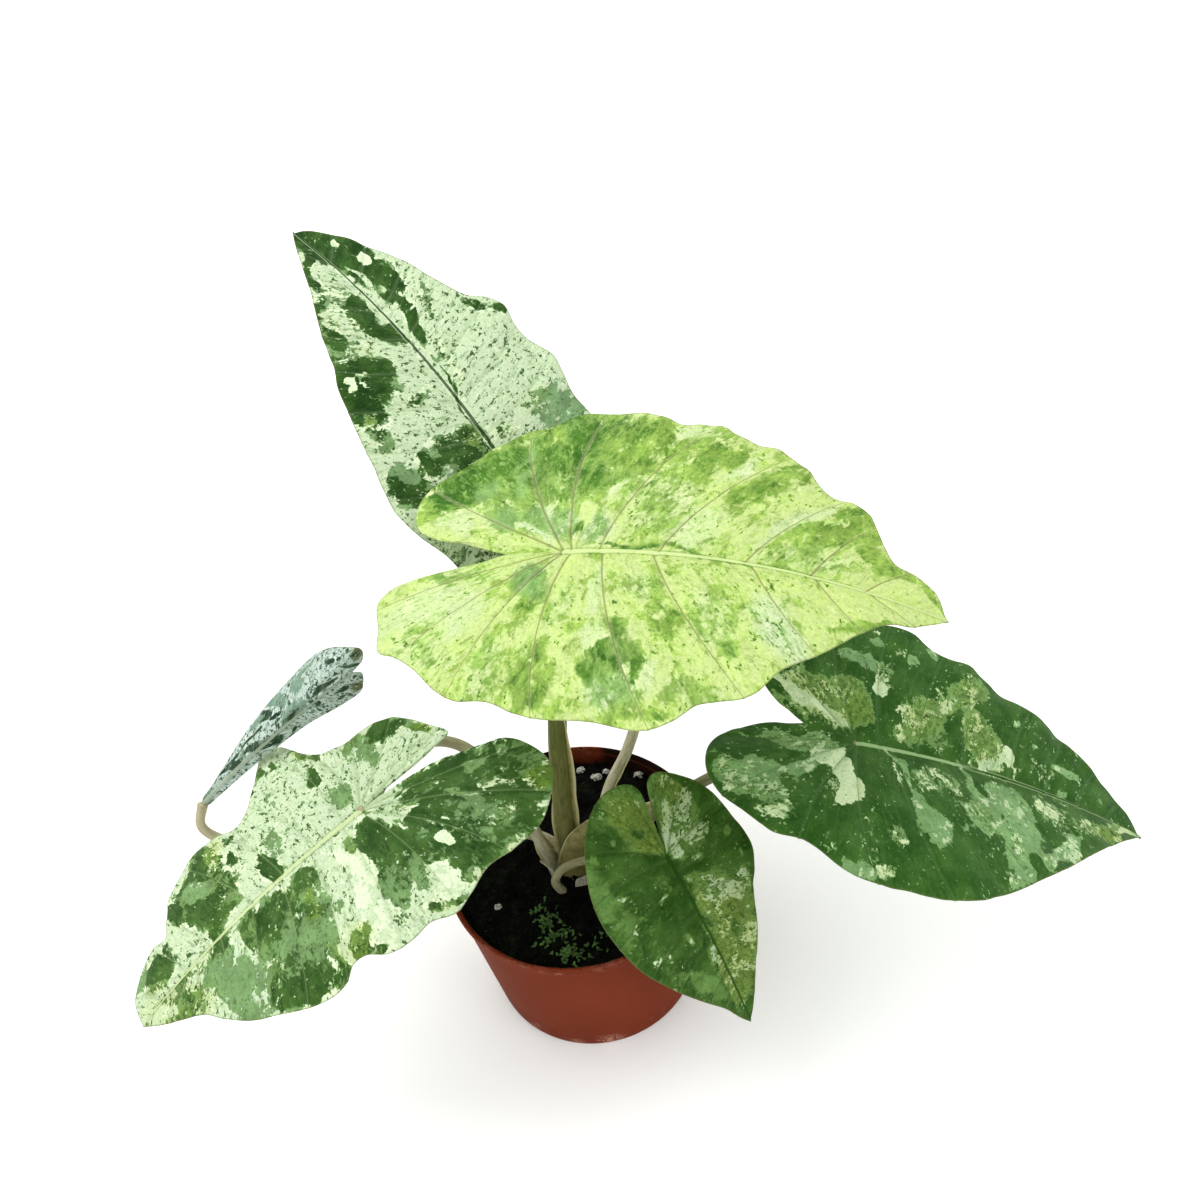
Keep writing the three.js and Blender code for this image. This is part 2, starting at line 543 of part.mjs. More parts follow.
PERLITE.forEach((grain, i) => {
  soil = soil.subtract(toSolid(perliteGrain(grain, i, 1.4 * CLEARANCE)));
  plant.add(mesh(`perlite_${i + 1}`, perliteGrain(grain, i, 0), perliteWhite));
});
plant.add(mesh('soil', toGeometry(soil), darkSoil));

DRY_SCALES.forEach((scale) => plant.add(mesh(scale.name, dryScale(scale), papery)));

LEAVES.forEach((leaf) => {
  const large = leaf.left.length > 16;
  plant.add(mesh(`${leaf.name}_stalk`, toGeometry(stalks.get(leaf.name)), stalkBeige));
  plant.add(mesh(`${leaf.name}_blade`, blade(leaf, large ? 40 : 22),
    { color: leaf.color, roughness: 0.45, metalness: 0, side: THREE.DoubleSide }));
});

export default plant;
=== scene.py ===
"""A young variegated elephant ear in its nursery pot, with its leaves, soil and studio floor.

Sizes are in millimetres unless a name says otherwise. The origin is the centre of the pot's underside,
+Z is up and the front of the plant faces -Y.
"""

import math

import bpy
import numpy as np
from bpy.props import FloatProperty, FloatVectorProperty, IntProperty, PointerProperty
from mathutils import Matrix, Vector


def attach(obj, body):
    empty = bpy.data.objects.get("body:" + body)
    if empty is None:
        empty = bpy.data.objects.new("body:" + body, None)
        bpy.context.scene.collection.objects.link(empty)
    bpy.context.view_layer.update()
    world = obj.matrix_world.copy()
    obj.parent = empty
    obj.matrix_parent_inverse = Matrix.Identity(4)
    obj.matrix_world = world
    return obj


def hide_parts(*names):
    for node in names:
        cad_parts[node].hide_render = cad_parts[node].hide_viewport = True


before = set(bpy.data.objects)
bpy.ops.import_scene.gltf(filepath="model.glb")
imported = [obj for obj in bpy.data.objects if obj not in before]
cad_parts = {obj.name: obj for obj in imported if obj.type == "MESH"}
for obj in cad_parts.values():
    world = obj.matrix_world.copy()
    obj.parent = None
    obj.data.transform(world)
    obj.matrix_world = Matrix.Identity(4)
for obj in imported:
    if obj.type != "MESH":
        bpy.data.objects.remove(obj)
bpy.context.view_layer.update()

bl_info = {
    "name": "Potted elephant ear",
    "version": (1, 0, 0),
    "blender": (4, 5, 0),
    "location": "3D View > Sidebar > Plant",
    "description": "Adds a variegated elephant ear in its nursery pot, one piece at a time",
    "category": "Add Mesh",
}

DEGREE = math.pi / 180
SCALE = 0.001
# Stands for the distance to a line that isn't there
FAR = 99.0
# The steps in which the line of a side vein is followed
VEIN_STEPS = 25
# The leaves whose blades and markings are finer than those of the rest
SMALL_LEAVES = ("leaf_front", "leaf_rolled")


# Layout of the leaves

# Every leaf is laid out flat first, in millimetres from the point where the stalk meets the blade: x runs
# along the midrib to the tip and y to the leaf's left. The outlines go from the tip round each side to the
# notch. Each side vein has its start on the midrib and its end near the outline, from the tip back to the
# notch. A stalk has its radius at the foot and at the neck, then points from the soil to the blade.
LEAVES = {
    "leaf_crown": dict(
        joint=(18, 37, 245), heading=-17, pitch=8, roll=0, arch=22, lobe_arch=11, fold=(8, 8), cup=(20, 19),
        ripple=1.6, ripples=(9, 8), tip=(155, -4), notch=(-25, 0.5),
        left=[(151, 5), (143, 12), (131, 16), (125, 23), (119, 36), (111, 42), (101, 42.5), (90, 55),
              (80, 65), (68, 65), (60, 69), (54, 76), (46, 77), (36, 75), (26, 79), (12, 84.5), (-4, 83),
              (-16, 77), (-30, 76), (-41, 65), (-62, 52), (-72, 35), (-71, 22), (-60, 12.5), (-45, 8)],
        right=[(149, -8), (141, -13), (130, -17), (118, -28), (104, -42), (92, -53), (83, -66), (72, -70),
               (64, -74), (56, -83), (46, -87), (28, -85), (10, -86), (-3, -82), (-14, -77), (-27, -77),
               (-36, -72), (-50, -59), (-58, -54), (-66, -51), (-71, -38), (-76, -22), (-72, -15),
               (-58, -10), (-38, -5)],
        veins=([(120, 138, 14), (98, 122, 31), (72, 109, 42), (38, 84, 61), (14, 52, 76), (3, 3, 84),
                (0, -30, 75), (0, -68, 42)],
               [(122, 141, -12), (100, 121, -26), (75, 104, -42), (36, 80, -67), (16, 48, -86), (3, 4, -85),
                (0, -31, -74), (0, -58, -53), (0, -74, -25)]),
        stalk=(5.1, 3.5, [(-1.5, 1, 82), (-2, 9, 112), (1.5, 24, 150), (8, 34, 195), (16, 37, 230)]),
    ),
    "leaf_back": dict(
        joint=(1, 122, 205), heading=123, pitch=42, roll=9, arch=20, lobe_arch=10, fold=(11, 9),
        cup=(16, 17), ripple=1.3, ripples=(7, 8), tip=(168, 0.5), notch=(-16, 0),
        left=[(158, 6.5), (146, 13), (132, 20), (118, 28), (102, 36), (88, 42), (78, 48), (66, 51),
              (52, 55.5), (40, 59), (28, 61), (15, 62), (4, 60), (-8, 54), (-22, 50), (-36, 44), (-48, 36),
              (-55, 23), (-47, 10), (-30, 3)],
        right=[(165, -5), (157, -11), (147, -16.5), (137, -19), (128, -24.5), (119, -28.5), (108, -30),
               (97, -34.5), (88, -40.5), (83, -46), (76, -49.5), (61, -48), (44, -53), (24, -51), (8, -52),
               (-9, -51), (-27, -48), (-44, -38), (-52, -24), (-45, -10), (-30, -3)],
        veins=([(140, 153, 9), (122, 138, 17), (104, 121, 26), (86, 104, 35), (67, 85, 44), (48, 66, 51),
                (28, 46, 57), (10, 24, 61), (0, -2, 58), (0, -30, 46), (0, -53, 28)],
               [(140, 155, -12), (122, 138, -18), (104, 121, -27), (86, 103, -31), (67, 84, -45),
                (48, 64, -48), (28, 44, -53), (10, 22, -51), (0, -4, -51), (0, -30, -46), (0, -50, -28)]),
        stalk=(2.9, 2, [(7.5, 4.5, 82), (13, 11, 95), (20, 21, 107), (31, 31, 121), (36.5, 38, 133),
                        (33, 66, 153), (17, 101, 174), (5, 118, 193)]),
    ),
    "leaf_right": dict(
        joint=(127, -9, 150), heading=-6, pitch=-22, roll=-3, arch=14, lobe_arch=10, fold=(11, 11),
        cup=(18, 16), ripple=1.2, ripples=(8, 7), tip=(153, -2), notch=(-24, 6),
        left=[(149, 4), (142, 10), (135, 15), (127, 20.5), (117, 28), (105, 36), (93, 41.5), (80, 46.5),
              (70, 52.5), (61, 57.5), (50, 60.5), (41, 64.5), (34, 68.5), (22, 71.5), (6, 70), (-14, 63),
              (-32, 49), (-44, 32), (-38, 20), (-30, 11)],
        right=[(139, -10), (122, -21.5), (104, -34.5), (81, -51.5), (60, -65), (46, -73), (38, -77),
               (25, -79.5), (10, -78), (-5, -78), (-14, -76.5), (-21, -71), (-27, -64), (-34, -59.5),
               (-47, -58), (-56, -50), (-66, -38), (-69.5, -25), (-66, -12), (-57, -3), (-44, 3)],
        veins=([(130, 141, 11), (112, 126, 21), (94, 110, 33), (74, 92, 42), (50, 70, 52), (28, 50, 60),
                (10, 24, 71), (0, -5, 67), (0, -34, 47), (0, -42, 27)],
               [(112, 124, -20), (92, 106, -33), (70, 88, -46), (45, 66, -61), (16, 26, -79), (0, -6, -78),
                (0, -35, -59), (0, -64, -41), (0, -63, -8)]),
        stalk=(3.1, 2.2,
               [(7.5, -6, 82), (17, -3, 92), (38, 3, 106), (64, 7, 120), (97, 0, 137), (117, -6, 145)]),
    ),
    "leaf_front": dict(
        joint=(40, -30, 120), heading=-62, pitch=-39, roll=-8, arch=23, lobe_arch=11, fold=(4, 7),
        cup=(19, 17), ripple=0.7, ripples=(5, 5), tip=(84, 1), notch=(-5, 1),
        left=[(77, 5), (70, 9.5), (60, 15.5), (50, 21), (40, 26), (31, 30), (27, 33), (20, 37), (10, 38.5),
              (0, 37), (-14, 33), (-22, 28.5), (-29, 22), (-33, 15), (-31, 9.5), (-18, 5)],
        right=[(79, -3), (71, -8), (61, -17), (50, -26), (30, -38), (9, -42), (-11, -38), (-29, -26),
               (-37, -12), (-36, 0), (-31, 4.5), (-18, 3)],
        veins=([(70, 76, 6), (58, 65, 12.5), (46, 54, 19), (33, 42, 25), (20, 29, 32), (8, 14, 38),
                (0, -4, 36.5), (0, -24, 27), (0, -32, 13)],
               [(70, 75, -5), (56, 64, -14), (42, 51, -25), (28, 38, -33), (14, 20, -41), (2, 0, -41),
                (0, -20, -33), (0, -35, -17), (0, -36, 0)]),
        stalk=(2.2, 1.6, [(-6, -9, 70), (-8, -13.5, 81), (-10.5, -13.5, 90), (-6, -12.5, 97), (4, -12, 100),
                          (22, -19, 108), (35, -27, 116)]),
    ),
    "leaf_left": dict(
        joint=(-86, -3, 150), heading=-155, pitch=-16, roll=3, arch=15, lobe_arch=5, fold=(2, 2),
        cup=(27, 24), ripple=1.4, ripples=(9, 6), tip=(134, 0), notch=(-4, 0),
        left=[(125, 8), (113, 16), (103, 23), (95, 33), (86, 42), (77, 48), (62, 57), (52, 60), (43, 60),
              (36, 56.5), (30, 57), (22, 62.5), (10, 64.5), (0, 64.5), (-10, 67.5), (-20, 64), (-30, 60.5),
              (-44, 61), (-60, 58), (-72, 49), (-77, 37), (-74, 25), (-67, 16), (-43, 5.5), (-22, 2.4)],
        right=[(133, -10), (130, -16), (120, -24), (112, -26), (104, -23.5), (100, -31), (95, -42),
               (84, -48.5), (72, -48), (61, -45.5), (52, -42), (46, -46), (35, -58), (24, -68.5), (17, -66),
               (9, -53), (0, -41), (-11, -36.5), (-24, -38), (-34, -33), (-46, -13), (-50, -5), (-42, -3.2),
               (-24, -1.5)],
        veins=([(112, 120, 12), (96, 105, 22), (80, 93, 36), (61, 82, 45), (44, 62, 57), (27, 42, 60),
                (10, 16, 64), (0, -12, 67), (0, -42, 61), (0, -70, 51), (0, -74, 25)],
               [(118, 131, -14), (102, 114, -26), (86, 101, -29), (60, 84, -48), (42, 60, -45),
                (24, 43, -49), (8, 23, -68), (0, 6, -49), (0, -12, -36), (0, -33, -34), (0, -48, -10)]),
        stalk=(3, 2.3, [(-10, -1.5, 82), (-15.5, 2, 105), (-25, 11, 133), (-40, 22, 150), (-53, 26, 153),
                        (-67, 23, 150), (-79, 10, 145)]),
    ),
    "leaf_rolled": dict(
        joint=(-166, 41, 115), heading=-1, pitch=47, roll=52, arch=28, lobe_arch=0, fold=(-18, -18),
        cup=(260, 260), ripple=0, ripples=(0, 0), tip=(102, -7), notch=(0, 0), rolled=True,
        left=[(109.5, -6), (112.5, -2), (108, 4), (99.5, 12), (90, 16), (72, 15), (50, 12), (28, 6.5),
              (10, 3), (1.5, 2)],
        right=[(104.5, -10.5), (101, -16), (96, -20), (86, -17), (72, -11), (50, -7), (28, -4.5), (10, -3),
               (1.5, -2)],
        veins=([(86, 99, 12), (64, 82, 16), (42, 58, 13), (22, 34, 8)],
               [(84, 94, -19), (62, 76, -13), (40, 52, -7), (20, 30, -5)]),
        stalk=(2.8, 2.2, [(-6, 8, 82), (-17, 12, 91), (-55, 22, 97), (-105, 30, 98), (-148, 29, 96),
                          (-163, 33, 98), (-169.5, 37, 105)]),
    ),
}

# Kinds of leaf tissue: the share of pale tissue, of half-green tissue and of flecks, and how warm it is
TISSUES = {
    "deep": (0, 0.04, 0.03, 0.3),
    "dark": (0.06, 0.24, 0.11, 0.35),
    "plain": (0, 0.12, 0.02, 0.1),
    "forest": (0.02, 0.3, 0.12, 0.5),
    "green": (0.18, 0.5, 0.2, 0.55),
    "moss": (0.16, 0.56, 0.22, 0.85),
    "sage": (0.03, 0.6, 0.2, 0.1),
    "soft": (0, 0.8, 0.06, 0.05),
    "lichen": (0.08, 1.05, 0.46, 1),
    "lace": (0.46, 1.1, 0.42, 0.3),
    "fern": (0.42, 0.95, 0.44, 0.8),
    "dapple": (0.46, 0.8, 0.3, 0.65),
    "olive": (0.3, 0.6, 0.3, 1),
    "grey": (0.16, 0.96, 0.2, 0),
    "mint": (0.36, 1, 0.2, 0.1),
    "mottled": (0.56, 0.6, 0.3, 0.45),
    "speckled": (0.38, 0.44, 0.34, 0.35),
    "white": (0.95, 0.86, 0.27, 0.12),
    "ash": (0.92, 0.8, 0.42, 0.05),
    "clear": (1.2, 0.4, 0.04, 0.15),
    "cream": (0.92, 0.8, 0.18, 0.42),
    "lime": (0.66, 0.9, 0.2, 0.9),
    "yellow": (1, 0.8, 0.08, 1),
}

# The markings of every leaf: its common tissue, then soft patches painted over each other in order, each
# with its kind, centre, half length and half width, and how many degrees it is turned, if it is
PAINT = {
    "leaf_crown": ("lime", [
        ("forest", -4, 54, 40, 33), ("forest", -48, 41, 27, 19, 15), ("moss", 34, 58, 28, 22),
        ("deep", -57, 42, 15, 9, 20), ("deep", -6, 70, 11, 10), ("deep", -34, 53, 6, 7),
        ("moss", -18, 66, 7, 9), ("moss", 12, 62, 9, 14), ("soft", -41, 35, 6.5, 8),
        ("soft", -29, 58, 2.6, 13), ("soft", -25, 38, 2.4, 11, -8), ("cream", -50, 20, 12, 7, -15),
        ("moss", -67, 26, 5, 6), ("soft", -28, 20, 9, 6, -35), ("mint", -7, 14, 15, 8, -25),
        ("white", -13, 9, 12, 1.4, -40), ("forest", 3, 11, 4, 5), ("mint", 14, 10, 7, 9),
        ("clear", 19, 32, 9, 1.7, 62), ("dapple", 36, 27, 17, 17), ("cream", 52, 13, 14, 8, 40),
        ("moss", 62, 55, 12, 8, 30), ("cream", 66, 47, 16, 3, 44), ("moss", 76, 36, 20, 9, 42),
        ("cream", 90, 22, 24, 3, 46), ("moss", 106, 22, 20, 9, 34), ("moss", 88, 50, 9, 5, 48),
        ("dapple", 98, 8, 20, 5, 10), ("moss", 119, 28, 11, 6, -60), ("moss", 128, 14, 14, 4, -30),
        ("yellow", 131, -1, 24, 7, -4), ("moss", 146, 8, 11, 2.6, -42), ("cream", 42, 70, 9, 6),
        ("cream", -52, -30, 24, 12, 24), ("dapple", -40, -11, 16, 4, -5), ("forest", -51, -14, 6, 2.6, -8),
        ("dapple", -48, -52, 17, 8, -42), ("cream", -36, -36, 8, 14, -20), ("soft", -9, -17, 9, 9),
        ("moss", -10, -29, 5, 4), ("yellow", 8, -11, 5, 6), ("cream", 18, -24, 4, 17, 10),
        ("dapple", 5, -34, 7, 11), ("dapple", -18, -62, 9, 16), ("moss", 1, -67, 9, 17),
        ("forest", 31, -59, 11, 20, 10), ("deep", 22, -63, 4, 5.5), ("mint", 31, -69, 8, 8),
        ("cream", 22, -47, 4, 5), ("cream", 43, -64, 3.4, 9, 14), ("moss", 47, -37, 6, 10, 20),
        ("dapple", 36, -22, 7, 8), ("dapple", 63, -34, 8, 15, 22), ("forest", 71, -47, 3, 5),
        ("white", 88, -35, 9, 18, 30), ("yellow", 110, -14, 20, 8, -10), ("moss", 121, -24, 14, 2.6, 40),
        ("dapple", 62, -69, 13, 5, 22), ("moss", 42, -82, 16, 2.6), ("moss", -2, -82, 10, 2.6),
        ("forest", 40, 1.5, 28, 1.4), ("moss", 84, 1.0, 26, 1.2),
    ]),
    "leaf_back": ("white", [
        ("mottled", -30, 0, 40, 70), ("dark", 22, 50, 11, 12, -30), ("deep", 30, 35, 6, 8),
        ("mint", 30, 49, 5, 6), ("dark", 27, 16, 11, 21), ("olive", 30, 8, 7, 8), ("mint", 23, 29, 3, 4),
        ("white", 43, 48, 7, 10), ("speckled", 46, 47, 6, 6), ("deep", 61, 43, 11, 10, -20),
        ("olive", 57, 45, 4, 4), ("deep", 78, 30, 14, 14), ("deep", 73, 45, 20, 5, -18),
        ("clear", 77, 39, 2.6, 2.4), ("clear", 73, 41, 1.8, 1.8), ("clear", 74, 34, 1.6, 1.6),
        ("mottled", 79, 32, 3, 4), ("speckled", 59, 18, 2.5, 10), ("white", 72, 9, 12, 9),
        ("mottled", 93, 25, 8, 7), ("white", 97, 22, 6, 4), ("dark", 108, 30, 20, 5, -28),
        ("mottled", 108, 25, 8, 3, -20), ("deep", 94, 9, 12, 5, 45), ("deep", 111, 12, 13, 8),
        ("white", 101, 3.4, 7, 3, 5), ("mottled", 104, 19, 7, 2.4, -15), ("white", 130, 11, 12, 7, -26),
        ("speckled", 124, 15, 5, 6), ("deep", 141, 13, 16, 2.8, -28), ("deep", 156, 3, 17, 9),
        ("white", 142, 6, 4, 2, -30), ("white", 28, -22, 9, 22), ("mottled", 25, -10, 5, 9),
        ("grey", 20, -40, 13, 12), ("mottled", 30, -32, 6, 10), ("white", 56, -26, 20, 24),
        ("mottled", 66, -10, 13, 3.4, -16), ("speckled", 100, -23, 13, 4, -24), ("dark", 84, -40, 6, 5, 30),
        ("dark", 75, -46, 6, 4), ("white", 108, -22, 6, 3, -20), ("deep", 92, -9, 15, 4, -18),
        ("deep", 113, -13.5, 16, 8, -20), ("deep", 137, -10, 27, 11, -8), ("deep", 155, -4, 17, 10),
        ("white", 117, -3.4, 18, 1.7, -2), ("clear", 131, -14.5, 4, 2.5, -20), ("clear", 147, -10, 2, 2.6),
        ("mottled", 113, -9, 3, 1.6), ("dark", 50, -1.6, 34, 1.3, -3),
    ]),
    "leaf_right": ("deep", [
        ("fern", -17, 21, 20, 13, -38), ("lichen", 1, 19, 9, 14, 10), ("fern", -4, 25, 7, 7),
        ("clear", -21, 18, 21, 2.8, -36), ("green", -31, 14, 15, 4.5, -38), ("deep", -35, 16, 9, 1.6, -38),
        ("deep", -12, 38, 12, 5, 20), ("grey", 5, 47, 11, 5.5, -15), ("mint", 14, 60, 3.6, 4),
        ("mint", 44, 58, 3, 4.2), ("mint", 30, 52, 4, 1.8, -35), ("speckled", 23, 54, 3, 3),
        ("speckled", 15, 37, 4.5, 13), ("clear", 14, 27, 2.8, 5.5), ("fern", 34, 20, 20, 8, 46),
        ("fern", 57, 39, 15, 9, 42), ("fern", 61, 17, 9, 14), ("mottled", 45, 30, 11, 3.4, 42),
        ("deep", 48, 15, 6, 4.5), ("green", 39, 7, 9, 3, 10), ("dark", 36, 34, 5, 4),
        ("clear", 74, 13, 4.6, 5.5), ("white", 64, 8, 9, 2.2, 42), ("mint", 110, 15.5, 11, 2.2, 3),
        ("mint", 101, 4.6, 4.4, 1.6, 35), ("mint", 84, 30, 3.4, 1.4, 40), ("mint", 111, 30.5, 1.6, 2.2),
        ("mint", 93, 22, 2.6, 1, 40), ("speckled", 92, 10, 5, 6, 30), ("deep", 115, 28, 26, 9, -18),
        ("speckled", -44, -49, 9, 4), ("lace", -27, -4.5, 18, 5.5), ("lace", -61, -29, 6, 9),
        ("lace", -50, -39, 15, 6, -12), ("mint", -45, -28, 12, 9, 10), ("mint", -30, -19, 11, 3.4, 38),
        ("deep", -54, -12, 11, 7), ("white", -18, -13, 7, 6), ("clear", -10.5, -22, 6, 17, -8),
        ("speckled", -20, -28, 4, 8), ("deep", -31, -36, 9, 8, 20), ("deep", 5, -40, 7, 46),
        ("mint", -11, -70, 6.5, 6, -30), ("mottled", -3, -74, 4, 4), ("speckled", 8, -53, 4, 6),
        ("plain", 40, -48, 14, 32), ("speckled", 32, -17, 10, 9), ("clear", 14, -18, 1.0, 7),
        ("mint", 18.5, -15, 2, 14, 6), ("mint", 22, -33, 3, 8), ("mint", 26, -45, 7, 8),
        ("lace", 51, -32, 6, 10, 20), ("mint", 52.5, -20, 2.6, 21, 17), ("mint", 67, -25, 12, 21),
        ("mint", 60, -56, 5, 13, -10), ("deep", 69, -53, 5, 7, -10), ("lace", 77, -49, 5, 5, 40),
        ("mint", 93, -37, 21, 4.6, 42), ("dark", 82, -30, 6, 8), ("speckled", 91, -17, 9, 11, 20),
        ("green", 118, -14, 28, 7, 24), ("olive", 127, -13, 16, 4, 34), ("cream", 139, -6, 10, 1.8, 26),
    ]),
    "leaf_front": ("plain", [
        ("deep", 0, 24, 34, 15), ("lace", -14, 13, 18, 10, 8), ("fern", -22, 18, 8, 6),
        ("deep", -3, 31, 26, 7, 6), ("deep", 12, 18, 8.5, 13), ("white", -3, 4, 9, 3.8),
        ("cream", -14, 8, 6, 2.4, -25), ("mint", 6.5, 28.5, 2.6, 2, -40), ("mint", 7, 13, 2, 2.6),
        ("mint", 17, 30.5, 3, 1.2), ("clear", 29.5, 16.5, 5, 7.5), ("clear", 32, 12, 4.4, 3),
        ("lace", 28, 26, 6, 2.6, -20), ("lace", 18, 8, 3, 8, -28), ("fern", 25, 4, 6, 4),
        ("fern", 46, 11, 24, 13, -18), ("fern", 64, 4, 9, 4.4, -8), ("forest", 44, 13, 5, 3, -18),
        ("olive", 36, 17, 6, 4), ("lace", 22, 14, 6, 6), ("deep", 42, 27, 12, 3, -26),
        ("fern", 50, -1, 22, 2), ("mint", 46, -4, 4.4, 2.2), ("deep", 12, -11, 20, 9, -20),
        ("lichen", -21, -6, 17, 10), ("lichen", -9, -5, 8, 5, 20), ("deep", -14, -7, 3, 3),
        ("deep", 2, -8, 5, 9), ("deep", 25, -17, 13, 4, -52), ("soft", 56, -12, 13, 5, 35),
        ("soft", 4, -35, 20, 6), ("mint", 2.5, -28.5, 2.4, 2), ("mint", -18.5, -29.5, 2, 1),
        ("mint", 34, -10, 2.8, 1.1, 25), ("mint", 47, -16.5, 1.2, 1.2), ("mint", 12.5, -12, 1.1, 1.8),
        ("mint", -18, -19, 1.4, 1),
    ]),
    "leaf_left": ("white", [
        ("plain", -38, 33, 46, 31), ("dark", -64, 28, 12, 16), ("olive", -72, 43, 6, 8),
        ("mottled", -46, 58, 5, 4), ("mottled", -54, 34, 9, 1.8, -50), ("mottled", -51, 46, 4, 3),
        ("mint", -48, 18, 8, 4, -10), ("sage", -40, 37, 8, 14, 30), ("deep", -32, 12, 16, 5, -20),
        ("mint", -63, 19, 3, 3), ("lace", -40, 26, 12, 0.8, -42), ("clear", -23, 39, 2.4, 4.6),
        ("clear", -15, 53, 10, 8, -30), ("mottled", -30, 60, 9, 2.4), ("white", -4, 52, 9, 13),
        ("green", -10, 62, 7, 3), ("sage", -7, 45, 4.4, 11), ("deep", 1, 22, 9, 22), ("sage", 4, 43, 6, 15),
        ("clear", 17, 34, 7, 36, -4), ("white", 30, 30, 8, 26, -14), ("cream", 34, 50, 7, 11),
        ("olive", 27, 53, 6, 8), ("olive", 40, 49, 2.6, 10), ("green", 23, 60, 5, 3),
        ("white", -10, 9, 4, 5), ("green", 12, 11, 4, 6), ("mottled", -15, 12, 8, 2, -40),
        ("sage", 50, 26, 20, 27, -6), ("deep", 58, 50, 20, 10, -22), ("dark", 35, 10, 8, 9),
        ("olive", 37, 22, 3, 5.5), ("forest", 46, 12, 10, 8), ("forest", 63, 14, 7, 11),
        ("green", 68, 33, 5, 8), ("grey", 84, 24, 14, 23, 10), ("mottled", 96, 4, 20, 3.4),
        ("cream", 100, 24, 5, 6), ("fern", 112, 12, 20, 10, -25), ("forest", 109, 11, 6, 4.6),
        ("cream", 122, 7, 9, 4, -30), ("deep", 83, 3.6, 4, 2.8), ("white", -24, -10, 27, 11),
        ("mint", -15, -25, 11, 11), ("deep", -28, -29, 8, 9.5, 20), ("green", -11, -32, 7, 3.2, 20),
        ("olive", -41, -16, 7, 2.4, -60), ("white", 28, -34, 36, 38), ("mint", 5, -13, 4.4, 8),
        ("deep", 10, -32, 3.4, 6.5, 15), ("dark", 5, -44, 3.4, 5.5, 30), ("olive", 10, -48, 3, 6, 30),
        ("deep", 45, -11, 5.4, 9.5, 15), ("dark", 52, -13, 1.8, 2.2), ("dark", 57, -27, 3, 4.4),
        ("dark", 35, -10, 1.6, 1.8), ("deep", 26, -54, 2.2, 3.4), ("deep", 32, -56, 2.4, 2.8),
        ("deep", 38, -52, 2, 3.4), ("dark", 58, -38, 3.4, 2.4), ("mint", 31, -38, 3.8, 10),
        ("mint", 36, -17, 4, 9), ("forest", 79, -22, 19, 27), ("deep", 73, -15, 9, 6, -40),
        ("deep", 84, -20, 5, 9), ("deep", 77, -41, 10, 8), ("deep", 97, -32, 5, 13, 20),
        ("grey", 80, -31, 10, 5, -40), ("lime", 65.5, -38, 3.6, 6.5), ("green", 68, -8, 6, 5),
        ("white", 94, -12, 6.5, 13, 15), ("deep", 111, -13, 11, 9.5, -20), ("dark", 118, -16, 8, 6),
        ("grey", 126, -18, 5, 4), ("fern", 119, -6.5, 8, 3.4, -25), ("cream", 128, -3, 8, 5),
    ]),
    "leaf_rolled": ("ash", [
        ("grey", 3, 0, 9, 5), ("deep", 28, 3.6, 10, 1.3, 3), ("dark", 30, 1.2, 6, 1.8, -20),
        ("dark", 48, -2, 13, 2.6, -15), ("deep", 43, 4.6, 5, 1.2, 8), ("deep", 50, 5.4, 4, 1),
        ("deep", 57, 8.5, 4.2, 2.8), ("grey", 51, 9.4, 7, 1.8), ("grey", 65, 11, 6, 3, -40),
        ("deep", 62, 5, 4, 1.1, -5), ("grey", 71, 1, 8, 4.2, 5), ("dark", 68, 0.6, 6, 1.4),
        ("grey", 80, 8, 6, 4.4), ("grey", 87, 11.6, 11, 2.2), ("deep", 88, -2, 7, 1.5, -10),
        ("deep", 80.5, -4, 3.2, 1.2, -60), ("deep", 82.5, -7, 2.6, 1.3, 20),
        ("deep", 92.5, -10, 3, 1.8, -20), ("dark", 98, 5, 2.4, 1.6), ("dark", 101.5, 3.4, 1.6, 1.2),
        ("dark", 106.5, 3, 1.6, 1.2), ("dark", 99.5, -9, 1.4, 1.4), ("dark", 90, -14, 2, 1.3),
        ("dark", 63.5, -6.5, 2, 1, 30), ("olive", 109, -1, 3.8, 3.8), ("olive", 97, -15, 3.4, 4.4),
        ("deep", 103, -3.5, 5.6, 1.1, -44),
    ]),
}


# Numbers and curves

def smoothstep(low, high, x):
    """Rises smoothly from 0 at low to 1 at high."""
    t = np.clip((np.asarray(x, float) - low) / (high - low), 0, 1)
    return t * t * (3 - 2 * t)


def unit(v):
    """The vectors of v, each with length 1."""
    return v / np.maximum(np.linalg.norm(v, axis=-1, keepdims=True), 1e-12)


def lattice(i, j, k, seed):
    """A number from 0 to 1 for every whole-number point."""
    n = (i * 374761393 + j * 668265263 + k * 1442695041 + seed * 974634777) & 0xFFFFFFFF
    n = ((n ^ (n >> 13)) * 1274126177) & 0xFFFFFFFF
    n = ((n ^ (n >> 16)) * 668265263) & 0xFFFFFFFF
    return (n ^ (n >> 15)) / 4294967296.0


def value_noise(points, seed):
    """Smooth noise from -1 to 1 at the points, with a grain of 1."""
    points = np.asarray(points, float)
    cell = np.floor(points).astype(np.int64)
    f = points - cell
    f = f * f * (3 - 2 * f)
    total = 0.0
    for corner in np.ndindex(2, 2, 2):
        weight = np.prod([f[:, a] if corner[a] else 1 - f[:, a] for a in range(3)], axis=0)
        total = total + weight * lattice(*(cell[:, a] + corner[a] for a in range(3)), seed)
    return 2 * total - 1


def fractal(points, octaves, seed, gain=0.5):
    """Noise with several octaves, each half as large and gain times as strong as the one before."""
    total = 0.0
    strength = 1.0
    scale = 1.0
    for octave in range(octaves):
        total = total + strength * value_noise(np.asarray(points) * scale, seed + 17 * octave)
        strength *= gain
        scale *= 2.03
    return total


